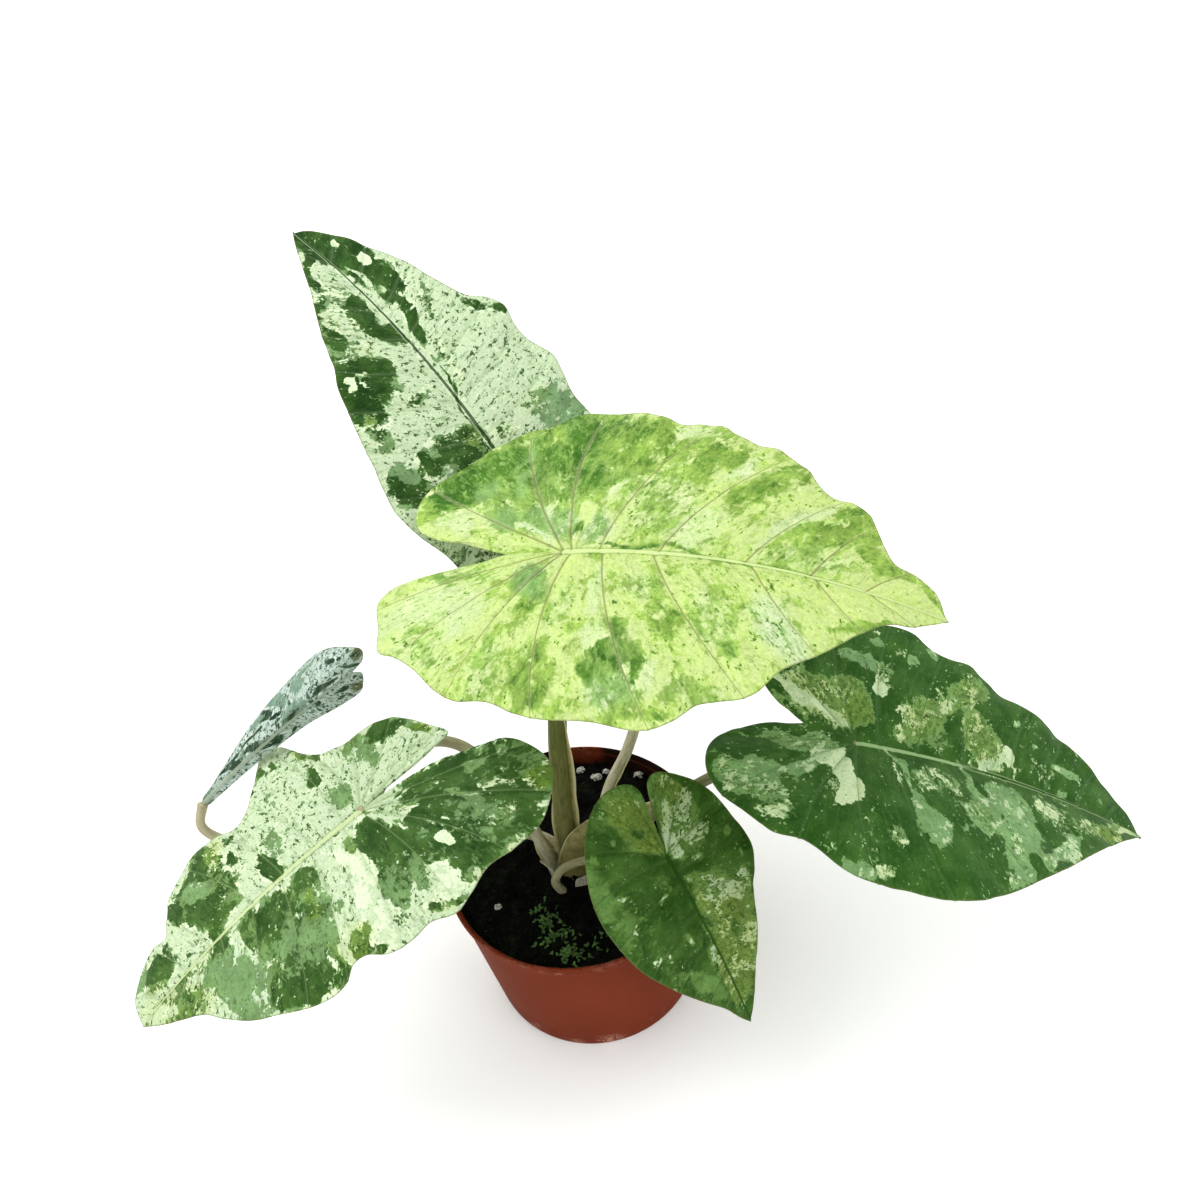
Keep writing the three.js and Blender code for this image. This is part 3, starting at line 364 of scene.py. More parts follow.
def smooth_curve(points, steps=32):
    """A dense line through the points, bent like a centripetal Catmull-Rom curve."""
    p = np.asarray(points, float)
    p = np.vstack([2 * p[0] - p[1], p, 2 * p[-1] - p[-2]])
    out = []
    for i in range(1, len(p) - 2):
        before, here, after = (max(np.linalg.norm(p[i + k] - p[i + k - 1]) ** 0.5, 1e-4) for k in range(3))
        a, b, c, d = p[i - 1:i + 3]
        start = ((b - a) / before - (c - a) / (before + here) + (c - b) / here) * here
        end = ((c - b) / here - (d - b) / (here + after) + (d - c) / after) * here
        t = np.linspace(0, 1, steps, endpoint=False)[:, None]
        out.append((2 * t**3 - 3 * t**2 + 1) * b + (t**3 - 2 * t**2 + t) * start
                   + (3 * t**2 - 2 * t**3) * c + (t**3 - t**2) * end)
    out.append(p[-2][None])
    return np.vstack(out)


def noise_over(x, y, z, seed, octaves=1, gain=0.5):
    """Noise at places given as numbers or grids of numbers, in a grid of the same shape."""
    x, y, z = np.broadcast_arrays(x, y, z)
    points = np.column_stack([x.ravel(), y.ravel(), z.ravel()])
    return fractal(points, octaves, seed, gain).reshape(x.shape)


class Line:
    """A dense line that can be read at any share of its length."""

    def __init__(self, points):
        self.points = np.asarray(points, float)
        steps = np.linalg.norm(np.diff(self.points, axis=0), axis=1)
        self.lengths = np.concatenate([[0], np.cumsum(steps)])
        self.length = self.lengths[-1]

    def at(self, share):
        """The points at these shares of the length."""
        s = np.clip(share, 0, 1) * self.length
        return np.stack([np.interp(s, self.lengths, column) for column in self.points.T], axis=-1)

    def share_near(self, point):
        """The share of the length where the line is nearest to the point."""
        i = np.argmin(np.linalg.norm(self.points - np.asarray(point, float), axis=1))
        return self.lengths[i] / self.length


# Meshes

def tidy_faces(faces, marks):
    """The faces without repeated corners, so that some quads become triangles, and the marks they keep."""
    out, kept_marks = [], []
    for face, mark in zip(faces, marks):
        kept = [v for i, v in enumerate(face) if v != face[i - 1]]
        if len(set(kept)) > 2:
            out.append(tuple(kept))
            kept_marks.append(mark)
    return out, kept_marks


def smooth_object(name, mesh):
    """A new smooth-shaded object in the scene."""
    mesh.polygons.foreach_set("use_smooth", np.ones(len(mesh.polygons), bool))
    piece = bpy.data.objects.new(name, mesh)
    bpy.context.scene.collection.objects.link(piece)
    return piece


def new_object(name, vertices, faces, materials, attributes=None, corner_attributes=None,
               face_materials=None):
    """A smooth-shaded object from vertices in millimetres.

    Each attribute has one number or vector per vertex, and each corner attribute one per face corner.
    """
    mesh = bpy.data.meshes.new(name)
    mesh.from_pydata((np.asarray(vertices, float) * SCALE).tolist(), [], [tuple(f) for f in faces])
    for domain, group in (("POINT", attributes), ("CORNER", corner_attributes)):
        for key, values in (group or {}).items():
            values = np.asarray(values, float)
            single = values.ndim == 1
            layer = mesh.attributes.new(key, "FLOAT" if single else "FLOAT_VECTOR", domain)
            layer.data.foreach_set("value" if single else "vector", values.ravel())
    for material in materials:
        mesh.materials.append(material)
    if face_materials is not None:
        mesh.polygons.foreach_set("material_index", np.asarray(face_materials, np.int32))
    mesh.validate()
    mesh.update()
    return smooth_object(name, mesh)


def claim(piece, nodes=()):
    """Makes the piece part of the plant: it stands for these CAD nodes."""
    if nodes:
        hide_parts(*nodes)
    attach(piece, "root")
    return piece


def add_piece(name, vertices, faces, materials, slot, nodes=(), **details):
    """A new object that is part of the plant."""
    return claim(new_object(name, vertices, faces, materials, **details), nodes)


class Batch:
    """Collects many small shapes that become one object."""

    def __init__(self):
        self.vertices = []
        self.faces = []
        self.attributes = {}
        self.face_materials = []
        self.count = 0

    def add(self, vertices, faces, attributes=None, material=0):
        """Adds one shape. An attribute is one value for all its vertices, or one for each."""
        vertices = np.asarray(vertices, float)
        self.vertices.append(vertices)
        self.faces.extend(tuple(v + self.count for v in face) for face in faces)
        self.face_materials.extend([material] * len(faces))
        for key, values in (attributes or {}).items():
            values = np.broadcast_to(np.asarray(values, float), (len(vertices), *np.shape(values)[1:]))
            self.attributes.setdefault(key, []).append(values)
        self.count += len(vertices)

    def place(self, name, materials, slot, nodes=()):
        """Makes the object of all the shapes."""
        attributes = {key: np.concatenate(parts) for key, parts in self.attributes.items()}
        return add_piece(name, np.vstack(self.vertices), self.faces, materials, slot, nodes,
                         attributes=attributes, face_materials=self.face_materials)


def grid_faces(rows, columns, around=False):
    """Quads between rows of columns points each. With around the last column joins the first."""
    faces = []
    for i in range(rows - 1):
        for j in range(columns if around else columns - 1):
            k = (j + 1) % columns
            faces.append((i * columns + j, i * columns + k, (i + 1) * columns + k, (i + 1) * columns + j))
    return faces


def capped_faces(rings, sides):
    """Quads between rings of sides points each, and fans to the two end points that follow the rings."""
    faces = grid_faces(rings, sides, around=True)
    first = rings * sides
    last = first - sides
    for j in range(sides):
        k = (j + 1) % sides
        faces += [(first, k, j), (last + j, last + k, first + 1)]
    return faces


def ring_of(radius, z, angle):
    """Points at these angles on a level circle about Z."""
    return np.column_stack([radius * np.cos(angle), radius * np.sin(angle), np.full(len(angle), z)])


def turned(profile, segments):
    """A solid of revolution about Z from (radius, z) points that start and end on the axis."""
    angle = np.arange(segments) * 2 * math.pi / segments
    rings = [ring_of(r, z, angle) for r, z in np.asarray(profile, float)[1:-1]]
    vertices = np.vstack(rings + [[0, 0, profile[0][1]], [0, 0, profile[-1][1]]])
    return vertices, capped_faces(len(rings), segments)


def frames_along(points):
    """A tangent and two directions across it at every point of a line, turned as little as possible."""
    tangent = unit(np.gradient(points, axis=0))
    across = np.zeros_like(points)
    start = np.cross(tangent[0], (0, 0, 1.0))
    across[0] = unit(start if np.linalg.norm(start) > 0.05 else np.cross(tangent[0], (0, 1.0, 0)))
    for i in range(1, len(points)):
        across[i] = unit(across[i - 1] - tangent[i] * np.dot(across[i - 1], tangent[i]))
    return tangent, across, np.cross(tangent, across)


def tube(points, radius, sides, shape=None):
    """A closed tube along the points, with one radius a point, which shape(angle, share) scales further."""
    tangent, across, beside = frames_along(points)
    angle = np.arange(sides) * 2 * math.pi / sides
    share = np.linspace(0, 1, len(points))
    reach = np.asarray(radius)[:, None] * np.ones(sides)
    if shape is not None:
        reach = reach * shape(angle[None, :], share[:, None])
    rings = (points[:, None] + reach[..., None] * (np.cos(angle)[None, :, None] * across[:, None]
                                                   + np.sin(angle)[None, :, None] * beside[:, None]))
    vertices = np.vstack([rings.reshape(-1, 3), points[0], points[-1]])
    along = np.append(np.repeat(share, sides), [0, 1])
    turn = np.append(np.tile(angle, len(points)), [0, 0])
    return vertices, capped_faces(len(points), sides), along, turn


def thin_sheet(middle, thickness):
    """A closed sheet round a grid of points with shape (rows, columns, 3)."""
    normal = unit(np.cross(np.gradient(middle, axis=1), np.gradient(middle, axis=0)))
    half = np.asarray(thickness)[..., None] / 2 * np.ones(middle.shape[:2])[..., None]
    rows, columns = middle.shape[:2]
    front = (middle + normal * half).reshape(-1, 3)
    back = (middle - normal * half).reshape(-1, 3)
    count = rows * columns
    faces = grid_faces(rows, columns)
    faces += [tuple(v + count for v in reversed(face)) for face in faces]
    edge = (list(range(columns)) + [i * columns + columns - 1 for i in range(1, rows)]
            + [(rows - 1) * columns + j for j in range(columns - 2, -1, -1)]
            + [i * columns for i in range(rows - 2, 0, -1)])
    for i, a in enumerate(edge):
        b = edge[(i + 1) % len(edge)]
        faces.append((b, a, a + count, b + count))
    return np.vstack([front, back]), faces


def ico_ball(rounds):
    """A ball with radius 1 made of even triangles."""
    g = (1 + 5**0.5) / 2
    points = [(-1, g, 0), (1, g, 0), (-1, -g, 0), (1, -g, 0), (0, -1, g), (0, 1, g), (0, -1, -g), (0, 1, -g),
              (g, 0, -1), (g, 0, 1), (-g, 0, -1), (-g, 0, 1)]
    faces = [(0, 11, 5), (0, 5, 1), (0, 1, 7), (0, 7, 10), (0, 10, 11), (1, 5, 9), (5, 11, 4), (11, 10, 2),
             (10, 7, 6), (7, 1, 8), (3, 9, 4), (3, 4, 2), (3, 2, 6), (3, 6, 8), (3, 8, 9), (4, 9, 5),
             (2, 4, 11), (6, 2, 10), (8, 6, 7), (9, 8, 1)]
    points = [unit(np.array(p, float)) for p in points]
    for _ in range(rounds):
        middles = {}
        split = []
        for a, b, c in faces:
            cut = []
            for pair in ((a, b), (b, c), (c, a)):
                key = tuple(sorted(pair))
                if key not in middles:
                    middles[key] = len(points)
                    points.append(unit(points[key[0]] + points[key[1]]))
                cut.append(middles[key])
            d, e, f = cut
            split += [(a, d, f), (b, e, d), (c, f, e), (d, e, f)]
        faces = split
    return np.array(points), faces


# Leaf blades

def arc(length, slope, bend):
    """How far along and how high an arc with this bend a millimetre is after this length, and its slope."""
    end = slope + bend * length
    straight = np.abs(bend) < 1e-7
    safe = np.where(straight, 1.0, bend)
    along = np.where(straight, length * np.cos(slope), (np.sin(end) - np.sin(slope)) / safe)
    rise = np.where(straight, length * np.sin(slope), (np.cos(slope) - np.cos(end)) / safe)
    return along, rise, end


def blade_axes(leaf):
    """The blade's own axes: x along the midrib, y to its left and z out of its upper face."""
    h, p, r = (leaf[key] * DEGREE for key in ("heading", "pitch", "roll"))
    x = np.array([math.cos(h) * math.cos(p), math.sin(h) * math.cos(p), math.sin(p)])
    level = np.array([-math.sin(h), math.cos(h), 0.0])
    upright = np.cross(x, level)
    y = level * math.cos(r) + upright * math.sin(r)
    return x, y, np.cross(x, y)


def bend_blade(leaf, flat, lift):
    """Bends points of the flat layout, each lifted off it by lift, into the leaf's place on the plant."""
    x, y = flat[:, 0], flat[:, 1]
    left = y >= 0
    bend = -np.where(x >= 0, leaf["arch"], leaf["lobe_arch"]) * DEGREE / 100
    spine_along, spine_rise, spine_end = arc(x, 0.0, bend)
    fold = np.where(left, leaf["fold"][0], leaf["fold"][1]) * DEGREE
    cup = -np.where(left, leaf["cup"][0], leaf["cup"][1]) * DEGREE / 100
    aside, rise, end = arc(np.abs(y), fold, cup)
    rise = rise + lift * np.cos(end)
    aside = aside - lift * np.sin(end)
    along = spine_along - rise * np.sin(spine_end)
    up = spine_rise + rise * np.cos(spine_end)
    axis_x, axis_y, axis_z = blade_axes(leaf)
    return (np.array(leaf["joint"], float) + along[:, None] * axis_x
            + (np.where(left, aside, -aside))[:, None] * axis_y + up[:, None] * axis_z)


def midrib_y(leaf, m):
    """How far the midrib swings aside at m millimetres from the stalk."""
    tip_x, tip_y = leaf["tip"]
    return tip_y * (np.asarray(m, float) / tip_x) ** 2


def vein_curve(leaf, start, end, bow, w):
    """Points at the shares w of a side vein that leaves the midrib steeply and bends towards the tip."""
    a = np.stack([start, midrib_y(leaf, start)], axis=-1)
    length = np.linalg.norm(end - a, axis=-1, keepdims=True)
    middle = (a + end) / 2 - np.concatenate([bow * length, 0 * length], axis=-1)
    w = np.asarray(w)[..., None]
    return (1 - w) ** 2 * a + 2 * w * (1 - w) * middle + w**2 * end


def row_shares(length, rows):
    """Shares of a vein's length where the blade's rows lie, closer together at the midrib and the edge."""
    near = np.array([0, 0.3, 0.7, 1.2, 1.9, 2.8, 4])
    edge = np.array([3.2, 2, 1.2, 0.6, 0.25, 0])
    length = np.maximum(length, 14)[:, None]
    first = near / length
    last = 1 - edge / length
    inner = np.linspace(0, 1, rows - len(near) - len(edge) + 2)[1:-1]
    middle = first[:, -1:] + (last[:, :1] - first[:, -1:]) * inner
    return np.hstack([first, middle, last])


def blade_columns(leaf, spacing):
    """For each half, where the columns of the blade start on the midrib and end on the outline.

    Both halves share the starts in front of the stalk. Every vein of either half has a column of its own.
    """
    rims = [Line(smooth_curve([leaf["tip"], *leaf[side], leaf["notch"]])) for side in ("left", "right")]
    veins = []
    for rim, rows in zip(rims, leaf["veins"]):
        veins.append(([float(m) for m, _, _ in rows], [rim.share_near((x, y)) for _, x, y in rows]))
    hub_share = []
    for starts, shares in veins:
        at_hub = [t for m, t in zip(starts, shares) if m == 0]
        hub_share.append(at_hub[0] if at_hub else 1.0)
    knots = sorted({leaf["tip"][0], 0.0, *veins[0][0], *veins[1][0]}, reverse=True)
    reach = []
    for (starts, shares), end in zip(veins, hub_share):
        m = [leaf["tip"][0]] + [s for s in starts if s > 0] + [0.0]
        t = [0.0] + [t for s, t in zip(starts, shares) if s > 0] + [end]
        reach.append((np.array(m[::-1]), np.array(t[::-1])))
    front = [float(knots[0])]
    for a, b in zip(knots, knots[1:]):
        width = max(abs(np.interp(a, *r) - np.interp(b, *r)) * rim.length for r, rim in zip(reach, rims))
        count = max(2, int(math.ceil(max(width, a - b) / spacing)))
        front.extend(np.linspace(a, b, count + 1)[1:])
    front = np.array(front)
    halves = []
    for rim, (starts, shares), r, end in zip(rims, veins, reach, hub_share):
        t = np.interp(front, *r)
        m = front
        stops = [end] + [s for start, s in zip(starts, shares) if start == 0 and s > end] + [1.0]
        for a, b in zip(stops, stops[1:]):
            count = max(2, int(math.ceil((b - a) * rim.length / spacing)))
            extra = np.linspace(a, b, count + 1)[1:]
            t = np.append(t, extra)
            m = np.append(m, np.zeros(len(extra)))
        marks = np.array(sorted({0.0, *shares, 1.0}))
        halves.append(dict(rim=rim, start=m, share=t, marks=marks, veins=list(zip(starts, shares))))
    return len(front), halves


def paint_blade(leaf_name, flat):
    """The amounts of pale tissue, half-green tissue, flecks and warmth at points of the flat layout."""
    base, spots = PAINT[leaf_name]
    paint = np.tile(np.array(TISSUES[base], float), (len(flat), 1))
    wander = np.stack([noise_over(*flat.T / 14, seed, seed, 3) for seed in (3, 8)], axis=1)
    place = flat + (2.0 if leaf_name in SMALL_LEAVES else 3.6) * wander
    for kind, x, y, half_length, half_width, *turn in spots:
        offset = place - (x, y)
        angle = turn[0] * DEGREE if turn else 0.0
        c, s = math.cos(angle), math.sin(angle)
        u = (offset[:, 0] * c + offset[:, 1] * s) / half_length
        v = (offset[:, 1] * c - offset[:, 0] * s) / half_width
        weight = (1 - smoothstep(0.55, 1.3, np.hypot(u, v)))[:, None]
        paint = paint * (1 - weight) + np.array(TISSUES[kind], float) * weight
    return paint


def line_gap(points, line):
    """The distance of points from a line of many short steps, counted larger towards its thin end."""
    best = np.full(len(points), FAR)
    for k, (a, b) in enumerate(zip(line, line[1:])):
        along = np.clip((points - a) @ (b - a) / max(float((b - a) @ (b - a)), 1e-9), 0, 1)
        gap = np.linalg.norm(points - a - along[:, None] * (b - a), axis=1)
        best = np.minimum(best, gap / (1.0 - 0.65 * (k + along) / (len(line) - 1)))
    return best


def blade_half(name, side, half, rows, sizes):
    """One half of a blade: flat points, lengths and sectors of its columns, and what holds at each point."""
    leaf = LEAVES[name]
    seed = 100 + 7 * list(LEAVES).index(name)
    rolled = leaf.get("rolled", False)
    vein_bow = 0.0 if rolled else sizes.vein_bow
    rim, start, share, marks = (half[key] for key in ("rim", "start", "share", "marks"))
    end = rim.at(share)
    length = np.linalg.norm(end - np.stack([start, midrib_y(leaf, start)], axis=1), axis=1)
    w = row_shares(length, rows)
    bow = (vein_bow * smoothstep(0.0, 0.08, share[-1] - share))[:, None]
    flat = np.stack([vein_curve(leaf, start, end, bow, w[:, k]) for k in range(rows)], axis=1).reshape(-1, 2)

    lateral = np.full(len(flat), FAR)
    bow = np.full((VEIN_STEPS, 1), vein_bow)
    for m, t in half["veins"]:
        line = vein_curve(leaf, np.full(VEIN_STEPS, m), np.tile(rim.at(t), (VEIN_STEPS, 1)), bow,
                          np.linspace(0, 1, VEIN_STEPS))
        lateral = np.minimum(lateral, line_gap(flat, line))
    midrib = np.hypot(flat[:, 1] - midrib_y(leaf, np.maximum(flat[:, 0], 0)), np.minimum(flat[:, 0], 0))

    # The tissue swells between the side veins, the margin waves, and the whole is a little rumpled
    cell = np.clip(np.searchsorted(marks, share, side="right") - 1, 0, len(marks) - 2)
    span = marks[cell + 1] - marks[cell]
    inside = (share - marks[cell]) / span
    swell = (np.sin(math.pi * inside) ** 0.8 * np.clip(span * rim.length / 22, 0.15, 1.1)
             * smoothstep(0, 0.06, share))
    across = w * length[:, None]
    from_edge = (1 - w) * length[:, None]
    wave = (leaf["ripple"] * w**3 * np.sin(math.pi * share)[:, None]
            * np.sin(2 * math.pi * (leaf["ripples"][side] * share + 0.3 * side))[:, None])
    fine = noise_over(share * rim.length / 6.5, side * 9.5, 0, seed)
    wave = wave + (0.0 if rolled else 0.55) * fine[:, None] * smoothstep(9, 0, from_edge)
    quilt = (sizes.quilting / SCALE * swell)[:, None] * smoothstep(0, 11, across)
    body = (wave + quilt * smoothstep(0, 9, from_edge)).ravel()
    rumple = noise_over(*flat.T / 7, seed, seed, 3)
    body = body + 0.16 * rumple * smoothstep(0, 5, across.ravel())
    return flat, length, cell, dict(body=body, lateral=lateral, midrib=midrib, edge=from_edge.ravel(),
                                    along=np.clip(flat[:, 0] / leaf["tip"][0], 0, 1))


def point_numbers(lengths, rows, front_count):
    """The number of the point at each column and row of each half. They share the midrib and the notch."""
    numbers = []
    offset = 0
    for length in lengths:
        number = (offset + np.arange(len(length) * rows)).reshape(-1, rows)
        offset += number.size
        if numbers:
            number[:front_count, 0] = numbers[0][:front_count, 0]
        number[front_count:, 0] = number[front_count - 1, 0]
        narrow = length < 1e-6
        number[narrow, :] = number[narrow, :1]
        if numbers:
            number[-1, :] = numbers[0][-1, :]
        numbers.append(number)
    return numbers


def sector_axes(leaf, half):
    """The direction of every sector between two side veins, from the midrib to the outline."""
    begin = {0.0: leaf["tip"][0], 1.0: 0.0, **{t: m for m, t in half["veins"]}}
    return [unit(half["rim"].at((a + b) / 2) - np.array([(begin[a] + begin[b]) / 2, 0.0]))
            for a, b in zip(half["marks"], half["marks"][1:])]


def blade_shape(name, sizes):
    """Flat points, faces and sectors of one leaf blade, and what holds at each point."""
    leaf = LEAVES[name]
    small = name in SMALL_LEAVES
    rows = int(sizes.rows * (0.75 if small else 1.0))
    front_count, halves = blade_columns(leaf, sizes.column_spacing * (0.72 if small else 1.0))
    built = [blade_half(name, side, half, rows, sizes) for side, half in enumerate(halves)]
    points, lengths, cells, details = zip(*built)
    faces, face_sectors, axes = [], [], []
    numbers = point_numbers(lengths, rows, front_count)
    for sign, half, number, cell in zip((1, -1), halves, numbers, cells):
        quads = np.stack([number[:-1, :-1], number[:-1, 1:], number[1:, 1:], number[1:, :-1]], axis=-1)
        faces.extend(quads.reshape(-1, 4)[:, ::sign].tolist())
        face_sectors.extend(np.repeat(len(axes) + cell[:-1], rows - 1).tolist())
        axes += sector_axes(leaf, half)
    faces, face_sectors = tidy_faces(faces, face_sectors)
    # Points that no face uses any more are left out
    used = np.unique(np.concatenate([np.array(f) for f in faces]))
    renumber = {int(old): new for new, old in enumerate(used)}
    faces = [tuple(renumber[v] for v in face) for face in faces]
    info = {key: np.concatenate([d[key] for d in details])[used] for key in details[0]}
    return leaf, np.vstack(points)[used], info, faces, face_sectors, np.array(axes)


def sector_places(flat, faces, face_sectors, axes):
    """For every face corner, how far across and along its own sector between two veins it is, and which."""
    corners = np.array([v for face in faces for v in face])
    sector = np.repeat(face_sectors, [len(face) for face in faces])
    axis = axes[sector]
    at = flat[corners]
    across = at[:, 0] * -axis[:, 1] + at[:, 1] * axis[:, 0]
    return np.column_stack([across, np.sum(at * axis, axis=1), 7.3 * sector])


def blade_piece(name, sizes, materials):
    """The object of one leaf blade: an upper and a lower skin that meet at the edge."""
    leaf, flat, info, faces, face_sectors, axes = blade_shape(name, sizes)
    rolled = leaf.get("rolled", False)
    groove = np.exp(-(info["lateral"] / 0.9) ** 2) * smoothstep(0, 2.5, info["edge"])
    rib = np.exp(-(info["midrib"] / (0.55 + 1.0 * (1 - info["along"]))) ** 2)
    valley = np.exp(-(info["midrib"] / 3.2) ** 2)
    thickness = sizes.blade_thickness / SCALE * (0.4 + 0.6 * smoothstep(0, 2.5, info["edge"]))
    body = info["body"]
    upper = body + thickness / 2 - 0.34 * groove - 0.55 * valley * (1 - 0.6 * info["along"]) + 0.5 * rib
    lower = (body - thickness / 2 - 0.34 * groove - 0.45 * np.exp(-(info["lateral"] / 1.3) ** 2)
             - (1.7 - 1.3 * info["along"]) * rib)
    if rolled:
        upper = thickness / 2 + 0 * body
        lower = -thickness / 2 + 0 * body
    count = len(flat)
    vertices = np.vstack([bend_blade(leaf, flat, upper), bend_blade(leaf, flat, lower)])
    edges = {}
    for face, sector in zip(faces, face_sectors):
        for a, b in zip(face, face[1:] + face[:1]):
            if (b, a) in edges:
                del edges[(b, a)]
            else:
                edges[(a, b)] = sector
    under = [tuple(v + count for v in reversed(face)) for face in faces]
    side = [(a, a + count, b + count, b) for a, b in edges]
    every = faces + under + side
    stream = sector_places(np.vstack([flat, flat]), every, face_sectors * 2 + list(edges.values()), axes)
    paint = paint_blade(name, flat)
    values = {"flat": np.column_stack([flat, np.zeros(count)])}
    values.update({key: info[key] for key in ("lateral", "midrib", "edge", "along")})
    values.update(zip(("pale", "half_green", "flecks", "warmth"), paint.T))
    attributes = {key: np.concatenate([value, value]) for key, value in values.items()}
    attributes["under"] = np.repeat([0.0, 1.0], count)
    return add_piece(name + "_fine", vertices, every, materials, name, [name + "_blade"],
                     attributes=attributes, corner_attributes={"stream": stream})


# Shaders

class Value:
    """The output of a shader node, which works in ordinary expressions."""

    def __init__(self, shader, socket):
        self.shader = shader
        self.socket = socket

    def math(self, operation, *others):
        """A Math node with this value and the others."""
        return self.shader.node("ShaderNodeMath", {"operation": operation}, dict(enumerate((self, *others))))

    def __add__(self, other):
        return self.math("ADD", other)

    def __sub__(self, other):
        return self.math("SUBTRACT", other)

    def __mul__(self, other):
        return self.math("MULTIPLY", other)

    def __truediv__(self, other):
        return self.math("DIVIDE", other)

    __radd__ = __add__
    __rmul__ = __mul__

    def __rsub__(self, other):
        return self.shader.node("ShaderNodeMath", {"operation": "SUBTRACT"}, {0: other, 1: self})

    def __rtruediv__(self, other):
        return self.shader.node("ShaderNodeMath", {"operation": "DIVIDE"}, {0: other, 1: self})

    def rise(self, low, high):
        """0 at low and 1 at high, with a smooth step between them. low may be above high."""
        return self.shader.node("ShaderNodeMapRange", {"interpolation_type": "SMOOTHSTEP"},
                                {"Value": self, "From Min": low, "From Max": high})

    def limit(self):
        """The value kept between 0 and 1."""
        return self.shader.node("ShaderNodeClamp", {}, {"Value": self})

    def highest(self, other):
        """The larger of two values."""
        return self.math("MAXIMUM", other)

    def wave(self):
        """The sine of the value."""
        return self.math("SINE")


class Shader:
    """Builds the node tree of one material."""

    def __init__(self, name):
        self.material = bpy.data.materials.new(name)
        self.material.use_nodes = True
        self.tree = self.material.node_tree
        self.tree.nodes.clear()

    def node(self, kind, settings=None, inputs=None, output=0):
        """Adds a node, sets it up, feeds its inputs and returns one of its outputs."""
        node = self.tree.nodes.new(kind)
        for key, value in (settings or {}).items():
            setattr(node, key, value)
        for key, value in (inputs or {}).items():
            if isinstance(value, Value):
                self.tree.links.new(value.socket, node.inputs[key])
            else:
                node.inputs[key].default_value = value
        return Value(self, node.outputs[output])

    def number(self, name):
        """A float attribute of the mesh."""
        return self.node("ShaderNodeAttribute", {"attribute_name": name}, {}, "Fac")

    def vector(self, name):
        """A vector attribute of the mesh."""
        return self.node("ShaderNodeAttribute", {"attribute_name": name}, {}, "Vector")

    def place(self):
        """The position on the object, in millimetres."""
        at = self.node("ShaderNodeTexCoord", {}, {}, "Object")
        return self.stretch(at, (1000, 1000, 1000))

    def stretch(self, vector, factors, shift=(0, 0, 0)):
        """The vector times the factors, moved by shift."""
        return self.node("ShaderNodeVectorMath", {"operation": "MULTIPLY_ADD"},
                         {0: vector, 1: factors, 2: shift})

    def parts(self, vector):
        """The x, y and z of a vector."""
        node = self.node("ShaderNodeSeparateXYZ", {}, {0: vector}).socket.node
        return [Value(self, output) for output in node.outputs]

    def nudge(self, vector, amount, scale, detail=2):
        """The vector moved about at random by up to the amount."""
        noise = self.noise(vector, scale, detail, 0.5, output="Color")
        return self.stretch(self.stretch(noise, (1, 1, 1), (-0.5, -0.5, -0.5)), (amount,) * 3, vector)

    def noise(self, vector, scale, detail=3, roughness=0.55, shift=0, distortion=0, output=0):
        """Cloudy noise, mostly from 0.2 to 0.8."""
        if shift:
            vector = self.stretch(vector, (1, 1, 1), (shift, 1.7 * shift, 0.6 * shift))
        return self.node("ShaderNodeTexNoise", {}, {"Vector": vector, "Scale": scale, "Detail": detail,
                                                    "Roughness": roughness, "Distortion": distortion}, output)

    def three(self, vector, scale, detail, roughness, shift):
        """Three cloudy noises of one grain that have nothing to do with each other."""
        return self.parts(self.noise(vector, scale, detail, roughness, shift, output="Color"))

    def cells(self, vector, scale, feature="F1"):
        """The distance to the nearest of many scattered points, or to the edge between them."""
        return self.node("ShaderNodeTexVoronoi", {"feature": feature}, {"Vector": vector, "Scale": scale})

    def spot(self, vector, centre, radius, soft=0.5):
        """1 near the centre, falling to 0 at the radius."""
        gap = self.node("ShaderNodeVectorMath", {"operation": "DISTANCE"}, {0: vector, 1: centre}, "Value")
        return gap.rise(radius, radius * (1 - soft))

    def blend(self, amount, first, second):
        """The first colour at amount 0 and the second at 1."""
        return self.node("ShaderNodeMix", {"data_type": "RGBA"}, {0: amount, 6: first, 7: second}, 2)

    def shade(self, colour, amount):
        """The colour made lighter or darker: amount 1 leaves it as it is."""
        grey = self.node("ShaderNodeCombineXYZ", {}, {0: amount, 1: amount, 2: amount})
        return self.node("ShaderNodeVectorMath", {"operation": "MULTIPLY"}, {0: colour, 1: grey})

    def relief(self, height, depth, strength=1):
        """A normal from a height that goes from 0 to 1 over depth millimetres."""
        return self.node("ShaderNodeBump", {},
                         {"Height": height, "Distance": depth * SCALE, "Strength": strength})

    def finish(self, colour, roughness, normal, **constants):
        """Puts the surface together, with constants for its other sockets, and returns the material."""
        inputs = {"Base Color": colour, "Roughness": roughness, "Normal": normal}
        inputs.update({key.replace("_", " "): value for key, value in constants.items()})
        surface = self.node("ShaderNodeBsdfPrincipled", {}, inputs)
        output = self.tree.nodes.new("ShaderNodeOutputMaterial")
        self.tree.links.new(surface.socket, output.inputs["Surface"])
        return self.material


def rgb(red, green, blue):
    """A linear colour with full alpha from display values between 0 and 255."""
    def linear(c):
        c = c / 255
        return c / 12.92 if c <= 0.04045 else ((c + 0.055) / 1.055) ** 2.4
    return (linear(red), linear(green), linear(blue), 1)


